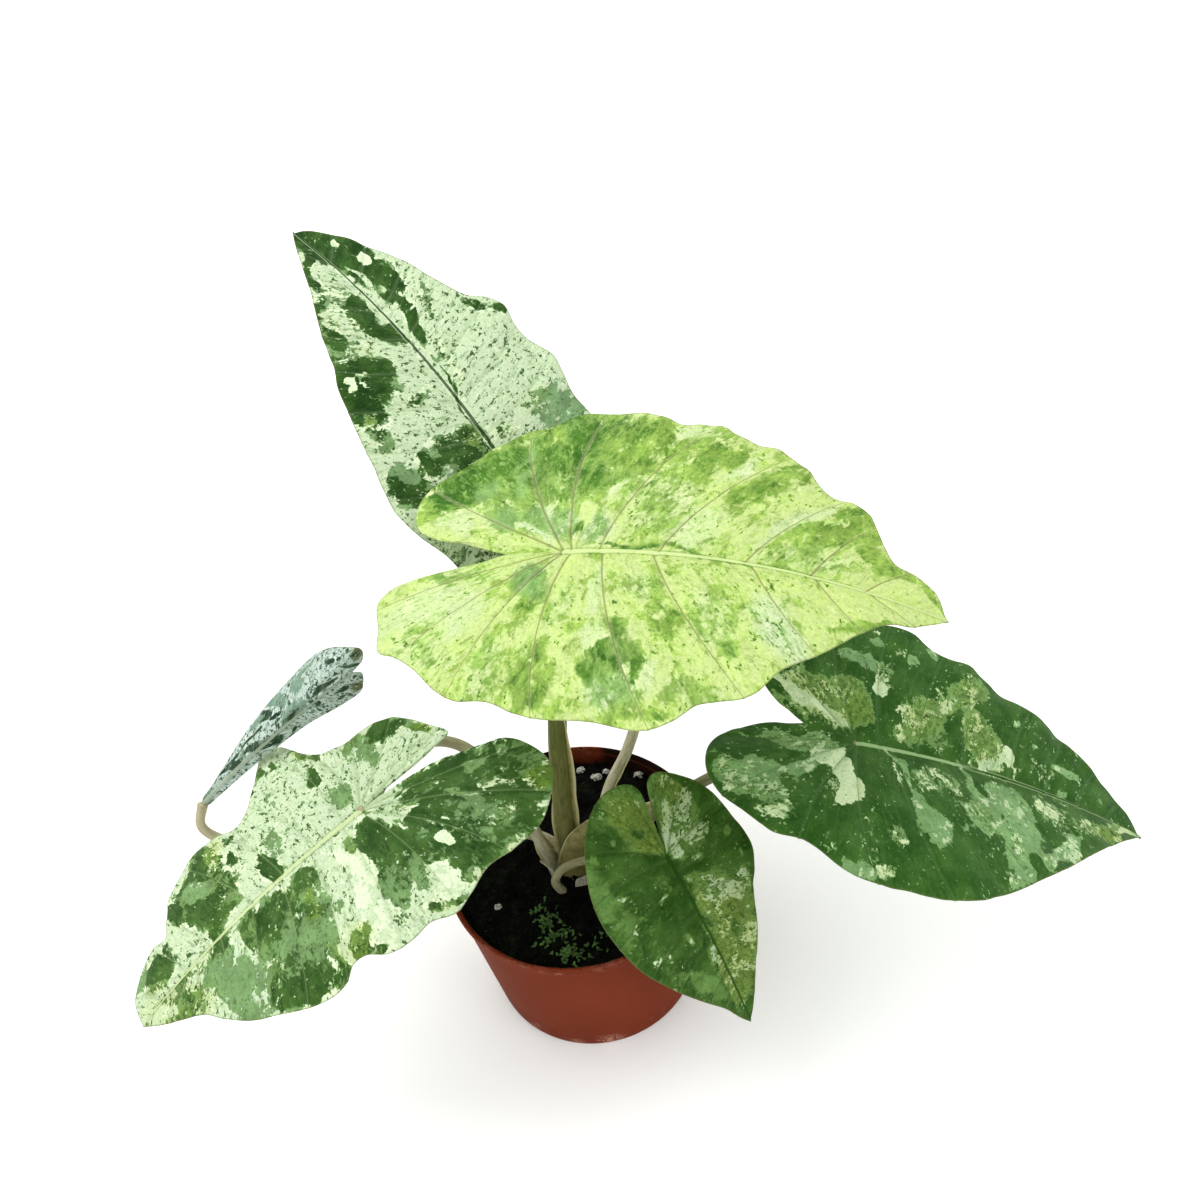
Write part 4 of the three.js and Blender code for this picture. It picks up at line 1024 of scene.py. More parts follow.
# The look of every leaf: colours of full green (deep and light), half green (cool and warm), pale tissue
# (pale and bright), the side veins and the midrib, then the sizes of its patches and flecks in millimetres.
# From the share line_from of its length the midrib is as dark as the deep green. The common look holds for
# every leaf that doesn't say otherwise.
COMMON_LOOK = dict(vein_strength=0.3, line_from=3, stretch=0.7, crisp=0.014, soft=1.6, sides=0.35,
                   band=0.12, dots=0.25)
LEAF_LOOKS = {
    "leaf_crown": dict(
        deep=(48, 100, 24), light=(98, 148, 50), cool=(150, 192, 112), warm=(172, 208, 92),
        pale=(236, 251, 206), bright=(222, 240, 146), vein=(136, 132, 76), vein_strength=0.65,
        midrib=(222, 242, 166), blotch=7.5, stretch=0.6, fleck=2.2, crisp=0.07, streaks=0.5, soft=2.5,
        band=0.16),
    "leaf_back": dict(
        deep=(24, 62, 14), light=(72, 112, 44), cool=(140, 178, 124), warm=(120, 152, 70),
        pale=(238, 255, 218), bright=(228, 244, 176), vein=(170, 194, 144), vein_strength=0.1,
        midrib=(210, 230, 180), line_from=0, blotch=7, fleck=2, streaks=0.08, soft=3),
    "leaf_right": dict(
        deep=(40, 86, 20), light=(78, 122, 50), cool=(142, 186, 122), warm=(130, 166, 76),
        pale=(226, 248, 202), bright=(228, 242, 160), vein=(80, 124, 56), vein_strength=0.4,
        midrib=(178, 212, 148), line_from=0.3, blotch=8, stretch=0.75, fleck=1.7, streaks=0.06, soft=2.5),
    "leaf_front": dict(
        deep=(38, 78, 16), light=(82, 122, 50), cool=(112, 154, 78), warm=(132, 158, 70),
        pale=(230, 248, 214), bright=(208, 226, 140), vein=(78, 116, 46), vein_strength=0.4,
        midrib=(64, 100, 40), line_from=-0.1, blotch=8, fleck=1.35, crisp=0.025, streaks=0.05, soft=5,
        sides=0),
    "leaf_left": dict(
        deep=(32, 72, 16), light=(82, 120, 52), cool=(132, 170, 110), warm=(118, 152, 62),
        pale=(238, 255, 220), bright=(232, 244, 172), vein=(150, 178, 112), midrib=(216, 232, 168),
        blotch=7.5, fleck=1.9, streaks=0.1, soft=4.5, dots=0.4),
    "leaf_rolled": dict(
        deep=(30, 54, 34), light=(72, 100, 74), cool=(142, 172, 150), warm=(124, 134, 96),
        pale=(226, 242, 232), bright=(206, 218, 190), vein=(140, 162, 140), midrib=(170, 184, 160),
        blotch=5.5, stretch=0.4, fleck=1.3, crisp=0.02, streaks=0.25),
}


def leaf_material(name, settings):
    """Waxy leaf tissue with pale, half-green and full-green patches, flecks, veins, midrib and edge."""
    look = {**COMMON_LOOK, **LEAF_LOOKS[name]}
    s = Shader(name + "_tissue")
    flat, stream = s.vector("flat"), s.vector("stream")
    pale_share, half_share, fleck_share = s.number("pale"), s.number("half_green"), s.number("flecks")
    warmth = s.number("warmth")
    seed = 31 * (1 + list(LEAF_LOOKS).index(name))
    deep, light, cool, warm, pale_cool, pale_warm, vein = (
        rgb(*look[k]) for k in ("deep", "light", "cool", "warm", "pale", "bright", "vein"))

    # The markings run along the veins, break off at them and have ragged edges with islands
    grain, stretch, crisp = look["blotch"], look["stretch"], look["crisp"]
    drawn = s.nudge(s.stretch(stream, (1 / grain, stretch / grain, 1)), 0.5, 1.6, 2)
    small = s.nudge(s.stretch(stream, (1 / look["fleck"], 0.66 / look["fleck"], 1)), 0.4, 0.8, 1)
    pale_cloud, half_cloud, clouds = s.three(drawn, 1, 3.4, 0.8, seed)
    streak, smudge_cloud, dots = s.three(s.stretch(stream, (0.45, 0.13, 1)), 1, 3, 0.75, seed + 37)

    def over(cloud, share):
        """Above 0 over about this share of the leaf."""
        return cloud - 0.5 + (share - 0.5) * settings.patch_gain

    pale_field = over(pale_cloud, pale_share)
    pale = pale_field.rise(-crisp, crisp)
    halo = (pale_field + 0.035).rise(-crisp, crisp)
    soft = look["soft"] * crisp
    half = over(half_cloud, half_share).rise(-soft, soft)
    fleck_field = over(s.noise(small, 1, 2.4, 0.75, seed + 29), fleck_share + 0.9 * (clouds - 0.5))
    fleck = fleck_field.rise(-0.5 * crisp - 0.012, 0.5 * crisp + 0.02)
    fleck_core = fleck_field.rise(0.01, crisp + 0.04)
    smudge = over(smudge_cloud, fleck_share * 0.5 + half_share * 0.4 - 0.2).rise(-0.05, 0.06)
    skin = s.noise(flat, 0.9, 3, 0.6, seed + 53)
    broad = s.noise(flat, 0.055, 2, 0.55, seed + 91)

    half_colour = s.blend(warmth, cool, warm)
    half_colour = s.shade(half_colour, 0.78 + 0.38 * clouds.rise(0.35, 0.65))
    pale_colour = s.blend((warmth * 0.8 + 0.5 * (clouds - 0.45)).limit(), pale_cool, pale_warm)
    depth = broad.rise(0.32, 0.68) * 0.62 + clouds.rise(0.36, 0.68) * 0.3 + 0.08 * streak.rise(0.45, 0.7)
    lateral = s.number("lateral")
    # Painted shade: the full green turns deeper within 5.5 mm of a side vein, in the dips between the
    # swellings where shade falls
    valley = lateral.rise(5.5, 0.6)
    full_colour = s.blend(depth * (1 - 0.6 * valley), deep, light)
    full_colour = s.shade(full_colour, 1 - look["dots"] * dots.rise(0.56, 0.66))
    # Green tissue, with half-green patches, a half-green hem round the pale patches and light flecks
    green = s.blend(half * 0.9, full_colour, half_colour)
    green = s.blend(halo * 0.75, green, half_colour)
    green = s.blend(streak.rise(0.5, 0.62) * look["streaks"], green, half_colour)
    light_fleck = s.blend(fleck_core, half_colour, pale_colour)
    green = s.blend(fleck * 0.6, green, s.blend(half, light_fleck, full_colour))
    # Pale tissue, with half-green haze and smudges, and dark flecks
    haze = over(half_cloud, half_share + 0.05).rise(-0.02, 0.06)
    light_tissue = s.blend(haze * 0.3, pale_colour, half_colour)
    light_tissue = s.blend(smudge * 0.6, light_tissue, half_colour)
    light_tissue = s.blend(streak.rise(0.54, 0.66) * look["streaks"] * 0.8, light_tissue, half_colour)
    dark_fleck = s.blend(fleck_core, half_colour, s.blend(0.6, full_colour, deep))
    light_tissue = s.blend(fleck * 0.92, light_tissue, dark_fleck)
    colour = s.blend(pale, green, light_tissue)
    colour = s.shade(colour, 0.88 + 0.24 * skin.rise(0.25, 0.75))

    # Veins, midrib and edge
    net = s.cells(s.nudge(s.stretch(stream, (0.36, 0.16, 1)), 0.35, 1.1, 1), 1, "DISTANCE_TO_EDGE")
    colour = s.blend(net.rise(0.06, 0) * 0.03, colour, vein)
    # A band beside each side vein, pale on the crown and half green on the other leaves: partly the veins'
    # own light margin, partly painted shade beside the raised veins
    colour = s.blend(lateral.rise(2.6, 0.8) * look["band"], colour,
                     pale_colour if name == "leaf_crown" else half_colour)
    colour = s.blend(lateral.rise(0.6, 0.25) * look["vein_strength"], colour, vein)
    reach = s.number("along")
    ratio = s.number("midrib") / (1.15 - 0.8 * reach)
    core = ratio.rise(1.15, 0.75)
    line = reach.rise(look["line_from"], look["line_from"] + 0.08)
    colour = s.blend((ratio.rise(2.3, 1.2) - core).limit() * look["sides"], colour,
                     s.blend(line, full_colour, pale_colour))
    colour = s.blend(core * 0.85, colour, s.blend(line, rgb(*look["midrib"]), deep))
    edge = s.number("edge")
    margin = (edge + 0.5 * skin).rise(0.95, 0.45)
    colour = s.blend(margin * 0.5, colour, rgb(112, 122, 64))
    under = s.number("under")
    colour = s.blend(under, colour, s.blend(0.5, colour, rgb(150, 178, 122)))
    colour = s.shade(colour, settings.tissue_depth)

    height = 0.5 * net.rise(0, 0.16) + 0.3 * skin + 0.2 * s.noise(flat, 2.6, 2, 0.5, seed + 5)
    roughness = 0.42 + 0.14 * skin + 0.05 * pale + 0.1 * under
    return s.finish(colour, roughness, s.relief(height, settings.bump_depth / SCALE, 0.7),
                    IOR=1.42, Specular_IOR_Level=0.08)


def stalk_material():
    """Fleshy stalk skin: beige and olive with long streaks and dark flecks."""
    s = Shader("stalk_skin")
    run = s.vector("run")
    height = s.number("height")
    tint = s.number("tint")
    streak = s.noise(s.stretch(run, (1.1, 0.06, 1)), 1, 4, 0.6)
    mottle = s.noise(s.stretch(run, (0.5, 0.16, 1)), 1, 4, 0.62, 9, 0.3)
    dash = s.noise(s.stretch(run, (1.6, 0.3, 1)), 1, 2, 0.5, 21).rise(0.6, 0.68)
    pale = s.blend(tint, rgb(122, 121, 66), rgb(206, 200, 176))
    colour = s.blend(tint, rgb(76, 83, 27), rgb(178, 170, 138))
    colour = s.blend(height.rise(0.5, 0) * 0.8, colour, pale)
    colour = s.blend(mottle.rise(0.42, 0.66) * 0.5, colour, s.blend(tint, rgb(56, 64, 20), rgb(140, 132, 96)))
    colour = s.blend(streak.rise(0.45, 0.75) * 0.5, colour, pale)
    colour = s.blend(dash * 0.35, colour, s.blend(tint, rgb(60, 56, 20), rgb(120, 92, 66)))
    relief = 0.7 * streak + 0.3 * mottle
    return s.finish(colour, 0.42 + 0.16 * mottle, s.relief(relief, 0.25, 0.6),
                    IOR=1.42, Specular_IOR_Level=0.1, Subsurface_Weight=0.1, Subsurface_Scale=0.002,
                    Subsurface_Radius=(1, 0.8, 0.4))


def sheath_material():
    """Thin sheath tissue at the foot of a stalk, pale and a little see-through."""
    s = Shader("sheath_skin")
    place = s.place()
    fibre = s.noise(s.stretch(s.vector("run"), (1.4, 0.05, 1)), 1, 3, 0.6)
    blotch = s.noise(place, 0.22, 4, 0.6)
    border = s.number("border")
    colour = s.blend(blotch.rise(0.35, 0.68), rgb(146, 138, 92), rgb(108, 104, 56))
    colour = s.blend(fibre.rise(0.48, 0.7) * 0.45, colour, rgb(154, 148, 104))
    colour = s.blend(border.rise(0.72, 0.96) * 0.8, colour, rgb(192, 184, 146))
    return s.finish(colour, 0.4 + 0.15 * blotch, s.relief(fibre, 0.15, 0.6),
                    IOR=1.42, Specular_IOR_Level=0.1, Subsurface_Weight=0.15, Subsurface_Scale=0.003,
                    Subsurface_Radius=(1, 0.9, 0.5))


def papery_material():
    """Dry papery tissue, cream with brown fibres and torn darker edges."""
    s = Shader("dry_scale_paper")
    run = s.vector("run")
    fibre = s.noise(s.stretch(run, (1.8, 0.08, 1)), 1, 4, 0.6)
    blotch = s.noise(s.place(), 0.3, 4, 0.65)
    tip = s.number("height")
    colour = s.blend(fibre.rise(0.35, 0.7), rgb(216, 212, 192), rgb(164, 158, 128))
    colour = s.blend(blotch.rise(0.5, 0.72) * 0.4, colour, rgb(104, 96, 64))
    colour = s.blend(tip.rise(0.8, 1) * 0.4, colour, rgb(110, 96, 66))
    return s.finish(colour, 0.62 + 0.2 * blotch, s.relief(fibre, 0.2, 0.8),
                    Subsurface_Weight=0.15, Subsurface_Scale=0.001)


def soil_material():
    """Dark peaty compost with grey and brown specks."""
    s = Shader("dark_compost")
    place = s.place()
    lump = s.noise(place, 0.35, 6, 0.65)
    grain = s.noise(place, 2.2, 4, 0.65, 7)
    speck = s.noise(place, 0.8, 4, 0.75, 19).rise(0.61, 0.7)
    fleck = s.noise(place, 0.8, 3, 0.6, 37).rise(0.64, 0.7)
    colour = s.blend(lump.rise(0.3, 0.7), rgb(3, 4, 3), rgb(13, 12, 10))
    algae = s.noise(place, 0.09, 4, 0.7, 51).rise(0.52, 0.7) * grain.rise(0.42, 0.6)
    colour = s.blend(grain.rise(0.5, 0.78) * 0.5, colour, rgb(30, 28, 24))
    colour = s.blend(algae * 0.7, colour, rgb(38, 52, 26))
    colour = s.blend(fleck * 0.5, colour, rgb(50, 44, 32))
    colour = s.blend(speck * 0.45, colour, rgb(84, 92, 78))
    return s.finish(colour, 0.78 + 0.16 * lump, s.relief(0.6 * grain + 0.4 * lump, 0.7, 1),
                    Specular_IOR_Level=0.05)


def perlite_material():
    """Chalky white porous grains with patches of dirt, darker in their pores."""
    s = Shader("perlite_grain")
    place = s.place()
    pore = s.cells(place, 1.6).rise(0.1, 0.34)
    dirt = s.noise(place, 0.9, 4, 0.65)
    colour = s.blend(dirt.rise(0.42, 0.62) * 0.8, rgb(206, 206, 200), rgb(92, 86, 74))
    colour = s.blend(1 - pore, colour, rgb(74, 68, 60))
    return s.finish(colour, 0.86 + 0.08 * dirt, s.relief(pore, 0.35, 0.9))


def root_material():
    """Ringed brown skin of the rootstock and its roots."""
    s = Shader("rootstock_skin")
    place = s.place()
    z = s.parts(place)[2]
    ring = (z * 1.9 + 1.4 * s.noise(place, 0.12, 2)).wave() * 0.5 + 0.5
    mottle = s.noise(place, 0.5, 5, 0.62)
    colour = s.blend(mottle.rise(0.35, 0.68), rgb(176, 150, 112), rgb(112, 84, 56))
    colour = s.blend(ring * 0.35, colour, rgb(84, 60, 40))
    return s.finish(colour, 0.66 + 0.2 * mottle, s.relief(0.6 * ring + 0.4 * mottle, 0.5, 0.8))


def pot_material(settings):
    """Matt red-brown nursery plastic with scuffs, dust at the rim, and soil stains and painted shade inside.
    """
    s = Shader("nursery_plastic")
    place = s.place()
    x, y, z = s.parts(place)
    colour_noise = s.noise(place, 0.03, 3, 0.5)
    fine = s.noise(place, 0.9, 4, 0.6)
    streak = s.noise(s.stretch(place, (0.25, 0.25, 0.02)), 1, 4, 0.6)
    dark, plain, light = ((*(share * c for c in settings.plastic), 1) for share in (0.62, 1, 1.12))
    colour = s.blend(colour_noise.rise(0.35, 0.65), plain, light)
    colour = s.blend(streak.rise(0.5, 0.75) * 0.12, colour, dark)
    # Scuffs near the foot and a scratch under the rim
    scuff = s.noise(s.stretch(place, (0.22, 0.22, 0.9)), 1, 5, 0.7, 5).rise(0.58, 0.7)
    marks = scuff * z.rise(17, 4) * 0.5
    for centre, radius in (((-31.9, -34.4, 5), 5), ((-13.7, -45, 3.5), 6), ((1.6, -48.6, 4), 9),
                           ((-13.5, -56.5, 86), 3.2), ((-31.3, -38.7, 10), 2.2)):
        marks = marks.highest(s.spot(place, centre, radius, 0.8) * fine.rise(0.42, 0.62) * 0.9)
    colour = s.blend(marks.limit() * 0.75, colour, rgb(196, 150, 130))
    # Dust and splashes of soil round the rim
    dust = s.noise(place, 0.16, 4, 0.66, 11).rise(0.48, 0.7) * z.rise(80, 89)
    colour = s.blend(dust * 0.12, colour, rgb(186, 150, 128))
    crumb = s.noise(place, 0.8, 3, 0.6, 3).rise(0.58, 0.63) * z.rise(85, 89.5)
    colour = s.blend(crumb * 0.9, colour, rgb(34, 24, 18))
    # Soil stain and painted shade: the inner wall above the soil and the top of the rim at the back are
    # darkened almost to black, except for one bare patch at the back
    radius = (x * x + y * y).math("SQRT")
    inside = (49 + z * 0.112 - radius).rise(0.3, 1)
    lip = y.rise(12, 34) * z.rise(86.5, 88.5)
    stain_and_shade = (inside * z.rise(89.5, 86)).highest(lip)
    bare_patch = s.spot(place, (8, 57, 88), 14, 0.5)
    colour = s.blend(stain_and_shade * (0.94 - 0.9 * bare_patch) * fine.rise(0.15, 0.35), colour, rgb(22, 17, 13))
    rough = settings.roughness + 0.14 * fine + 0.12 * marks.limit()
    return s.finish(colour, rough, s.relief(0.6 * fine + 0.4 * streak, 0.06, 0.6),
                    IOR=1.45, Specular_IOR_Level=0.01, Subsurface_Weight=0.04, Subsurface_Scale=0.001,
                    Subsurface_Radius=(1, 0.3, 0.15))


def moss_material():
    """Small fresh green leaves of the seedlings and moss."""
    s = Shader("seedling_green")
    place = s.place()
    tone = s.noise(place, 0.4, 3, 0.6)
    fine = s.noise(place, 3, 2, 0.5)
    colour = s.blend(tone.rise(0.3, 0.7), rgb(38, 74, 22), rgb(84, 124, 48))
    return s.finish(colour, 0.5 + 0.2 * fine, s.relief(fine, 0.1, 0.6),
                    Subsurface_Weight=0.1, Subsurface_Scale=0.001)


def floor_material():
    """Even matt white studio floor that glows faintly, a painted light that lightens the shadows on it."""
    s = Shader("studio_floor")
    at = s.node("ShaderNodeTexCoord", {}, {}, "Object")
    tone = s.noise(at, 3, 2, 0.5)
    colour = s.blend(tone * 0.02, rgb(250, 250, 250), rgb(244, 244, 244))
    # Painted light: the floor glows faintly, which lightens the shadows cast on it
    return s.finish(colour, 0.7 + 0.05 * tone, s.relief(tone, 0.02, 0.1),
                    Specular_IOR_Level=0.1, Emission_Color=(1, 1, 1, 1), Emission_Strength=0.1)


# Soil, roots and stalks

POT_HEIGHT = 90
SOIL_LEVEL = 82
CROWN_CENTRE = (-0.5, -1)
# Every grain's place on the soil and its radius
PERLITE = [(7, 51, 2.0), (14, 45, 2.4), (19, 48, 1.8), (34, 42, 2.2), (-38, -18, 1.7)]
DRY_SCALES = {
    "dry_scale_left": dict(bearing=213, spread=28, height=20, radius=12.3, lean=5),
    "dry_scale_front": dict(bearing=284, spread=44, height=13, radius=12.3, lean=4),
}
# Where seedlings grow: the centre of a patch, its spread and their number
SEEDLING_PATCHES = [(-17, -28, 5, 26), (-14, -37, 6, 30), (-10, -49, 4.5, 30), (-3, -46, 7, 18),
                    (6, -42, 6, 10), (-20, -22, 4, 8)]
# How brown each stalk is, from 0 for the fresh green of the crown stalk
STALK_TINTS = dict(leaf_crown=0.05, leaf_back=0.95, leaf_right=0.4, leaf_front=0.6, leaf_left=0.75,
                   leaf_rolled=0.85)
# Sheath wings: the shares of the stalk's length between which one stands, its width and its direction
WINGS = {
    "leaf_crown": [dict(start=0.02, stop=0.52, width=7.5, bearing=-20),
                   dict(start=0.0, stop=0.26, width=5.5, bearing=205)],
    "leaf_back": [dict(start=0.1, stop=0.32, width=4, bearing=-62)],
    "leaf_left": [dict(start=0.0, stop=0.2, width=5, bearing=8),
                  dict(start=0.0, stop=0.17, width=3.5, bearing=205)],
    "leaf_right": [dict(start=0.04, stop=0.32, width=10, bearing=118)],
}
# The two edges of the rounded sheath in front of the crown stalk, each from its foot to its top
FRONT_SHEATH = (
    [(-6.5, -6.8, 82.2), (-8.7, -5.5, 88.6), (-6.8, -3.6, 95), (-4.6, -2.1, 100.1), (-1.7, -0.7, 104.6),
     (2.5, 0.3, 108.2), (8.4, 1.3, 111.4)],
    [(5, -8.2, 81.5), (10, -5.5, 91.1), (13.5, -3.4, 97.2), (15.2, -1.4, 102.4), (14.1, 0.2, 107.5),
     (10.2, 1.4, 111.6)],
)


def pot_wall_radius(z):
    """Outer radius of the pot below its rim band."""
    return 49 + (59.1 - 49) * z / POT_HEIGHT


def soil_height(x, y):
    """The top of the soil without its crumbs."""
    lumps = (np.sin(0.21 * x + 1.3) * np.cos(0.17 * y - 0.6) + 0.7 * np.sin(0.33 * y + 0.12 * x)
             + 0.6 * np.cos(0.47 * x - 0.31 * y + 2))
    return SOIL_LEVEL + 0.8 * lumps


def fine_soil_height(x, y):
    """The top of the soil with its clumps and crumbs."""
    clumps = noise_over(x / 5.5, y / 5.5, 0, 61, 5, 0.55)
    crumbs = np.abs(noise_over(x / 1.7, y / 1.7, 0, 83, 2))
    return soil_height(x, y) + (0.75 * clumps + 0.55 * crumbs) - 0.2


def stalk_route(leaf):
    """The dense middle line of a leaf's stalk, up to the underside of its blade."""
    axis_x, axis_y, axis_z = blade_axes(leaf)
    joint = np.array(leaf["joint"], float)
    end = joint - axis_x * 0.3 if leaf.get("rolled") else joint - axis_z * 1.3
    return Line(smooth_curve([*leaf["stalk"][2], tuple(end)]))


def wing_sheet(line, wing, tint):
    """Vertices, faces, attributes and material number of the thin wing of a sheath along its stalk."""
    v, u = np.meshgrid(np.linspace(0, 1, 64), np.linspace(0, 1, 20), indexing="ij")
    centre = line.at(wing["start"] + (wing["stop"] - wing["start"]) * v)
    bearing = wing["bearing"] * DEGREE
    outward = np.array([math.cos(bearing), math.sin(bearing), 0.0])
    aside = np.array([-outward[1], outward[0], 0.0])
    lift = np.sin(math.pi * (0.12 + 0.84 * v)) ** 0.7
    frill = 0.25 * noise_over(v * 9, 0, 0, 5)
    reach = 0.4 + u * wing["width"] * lift * (1 + 0.12 * frill)
    curl = -0.3 * u**2 * wing["width"] + u * frill
    middle = centre + reach[..., None] * outward + curl[..., None] * aside
    return sheath_part(middle, 0.75 - 0.5 * u, u * wing["width"], v * 60, u, v, tint)


def front_sheath_sheet(tint):
    """The same for the rounded sheath in front of the crown stalk."""
    left, right = (Line(smooth_curve(edge)) for edge in FRONT_SHEATH)
    v, u = np.meshgrid(np.linspace(0, 1, 56), np.linspace(0, 1, 36), indexing="ij")
    middle = left.at(v) * (1 - u[..., None]) + right.at(v) * u[..., None]
    bulge = 2.6 * np.sin(math.pi * u) * np.sin(math.pi * (0.08 + 0.84 * v))
    middle = middle + bulge[..., None] * np.array([-0.25, -0.9, 0.3])
    border = np.maximum(1 - u * 5.5, (v - 0.86) / 0.14)
    thickness = 0.45 + 0.5 * smoothstep(0.6, 1, border)
    return sheath_part(middle, thickness, u * 18, v * 34, np.clip(border, 0, 1), v, tint)


def both_sides(*grids):
    """A column for each grid of numbers, once for a sheet's front and once for its back."""
    return np.tile(np.column_stack([grid.ravel() for grid in grids]), (2, 1))


def sheath_part(middle, thickness, run, rise, border, height, tint):
    """A thin sheet with the attributes that the sheath material reads."""
    sheet, faces = thin_sheet(middle, thickness)
    return sheet, faces, dict(run=both_sides(run, rise, 0 * run), height=both_sides(height)[:, 0],
                              tint=tint, border=both_sides(border)[:, 0]), 1


def add_stalk(name, sizes, skin, sheath):
    """One stalk, a little wider at its foot and at the blade, with the wings of its sheath."""
    leaf = LEAVES[name]
    foot, neck, _ = leaf["stalk"]
    line = stalk_route(leaf)
    share = np.linspace(0, 1, sizes.stalk_steps)
    points = line.at(share)
    s = share * line.length
    jitter = 0.35 * np.column_stack([noise_over(s / 16, 0, k, 7 + k) for k in range(3)])
    points = points + jitter * smoothstep(0, 20, s)[:, None] * smoothstep(0, 14, line.length - s)[:, None]
    radius = foot + (neck - foot) * share**0.7
    radius = radius * (1 + 0.22 * np.exp(-s / 5.0)) * (1 + 0.16 * np.exp(-(line.length - s) / 3.0))

    def section(angle, along):
        ridges = 0.022 * np.sin(7 * angle + 2.0 * along) + 0.014 * np.sin(13 * angle - 3.0 * along)
        return 1 + ridges + 0.05 * np.cos(angle - 0.8)

    vertices, faces, along, turn = tube(points, radius, sizes.stalk_sides, section)
    tint = STALK_TINTS[name]
    batch = Batch()
    run = np.column_stack([turn * foot, along * line.length, 0 * along])
    batch.add(vertices, faces, dict(run=run, height=along, tint=tint, border=0.0))
    for wing in WINGS.get(name, []):
        batch.add(*wing_sheet(line, wing, tint))
    if name == "leaf_right":
        batch.add(*front_sheath_sheet(tint))
    return batch.place(name + "_stalk_fine", [skin, sheath], "stalk", [name + "_stalk"])


def add_soil(sizes, material):
    """The block of compost that fills the pot, with a rough top and loose crumbs on it."""
    rings, spokes = sizes.soil_rings, sizes.soil_spokes
    top_radius = pot_wall_radius(80.5) - 1.5
    radius = top_radius * np.sqrt(np.linspace(0, 1, rings + 1)[1:])
    angle = np.arange(spokes) * 2 * math.pi / spokes
    r, a = np.meshgrid(radius, angle, indexing="ij")
    x, y = r * np.cos(a), r * np.sin(a)
    z = fine_soil_height(x, y)
    near_wall = smoothstep(top_radius - 2.5, top_radius, r)
    z = z * (1 - near_wall) + (SOIL_LEVEL - 1.5) * near_wall
    vertices = np.stack([x, y, z], axis=-1).reshape(-1, 3)
    faces = grid_faces(rings, spokes, around=True)
    count = len(vertices)
    low = 2.4
    bottom = ring_of(pot_wall_radius(low) - 1.7, low, angle)
    vertices = np.vstack([vertices, bottom, [0, 0, fine_soil_height(0.0, 0.0)], [0, 0, low]])
    for j in range(spokes):
        k = (j + 1) % spokes
        faces += [(count + spokes, k, j),
                  (count - spokes + j, count - spokes + k, count + k, count + j),
                  (count + j, count + k, count + spokes + 1)]
    faces = [face[::-1] for face in faces]
    batch = Batch()
    batch.add(vertices, faces)
    ball, ball_faces = ico_ball(1)
    generator = np.random.default_rng(23)
    for _ in range(sizes.crumbs):
        spread = top_radius * math.sqrt(generator.uniform(0, 0.93))
        turn = generator.uniform(0, 2 * math.pi)
        x, y = spread * math.cos(turn), spread * math.sin(turn)
        size = 0.5 + 1.15 * generator.uniform() ** 3
        shape = ball * (1 + 0.35 * value_noise(ball * 1.6 + generator.uniform(0, 90, 3), 3))[:, None]
        shape = shape * generator.uniform(0.6, 1.25, 3) * size
        spin = Matrix.Rotation(generator.uniform(0, 6.28), 3, Vector(generator.normal(size=3)))
        shape = shape @ np.array(spin)
        batch.add(shape + (x, y, fine_soil_height(x, y) + 0.25 * size), ball_faces)
    return batch.place("soil_fine", [material], "soil", ["soil"])


def add_perlite(material):
    """The pale grains that lie in the soil."""
    ball, faces = ico_ball(3)
    for i, (x, y, radius) in enumerate(PERLITE):
        dents = smoothstep(0.2, 0.6, value_noise(ball * 2.6 + i, 9))
        rough = 1 + 0.3 * fractal(ball * 1.9 + 11 * i, 3, 40 + i) - 0.3 * dents
        grain = ball * rough[:, None] * radius * (1, 0.8, 0.72)
        grain = grain + (x, y, soil_height(x, y) + 0.35 * radius + 0.25)
        name = f"perlite_{i + 1}"
        add_piece(name + "_fine", grain, faces, [material], "perlite", [name])


def add_dry_scale(name, material):
    """An old leaf base: a thin curved scale with a frayed tip."""
    scale = DRY_SCALES[name]
    v, u = np.meshgrid(np.linspace(0, 1, 46), np.linspace(0, 1, 36), indexing="ij")
    narrowing = 1 - 0.75 * v**2
    fray = noise_over(u * 9, 0, 2, 31)
    angle = (scale["bearing"] + scale["spread"] * (u - 0.5) * narrowing) * DEGREE
    rumple = 0.35 * noise_over(u * 5, v * 4, 0, 12, 3)
    out = scale["radius"] + scale["lean"] * v**2 + rumple * v
    tall = SOIL_LEVEL - 0.4 + (scale["height"] + 1.1) * v * (1 + 0.07 * fray * v**3)
    cx, cy = CROWN_CENTRE
    middle = np.stack([cx + out * np.cos(angle), cy + out * np.sin(angle), tall], axis=-1)
    vertices, faces = thin_sheet(middle, 0.8 - 0.55 * v)
    run = both_sides(u * 12, v * scale["height"], 0 * u)
    return add_piece(name + "_fine", vertices, faces, [material], "dry_scale", [name],
                     attributes=dict(run=run, height=both_sides(v)[:, 0]))


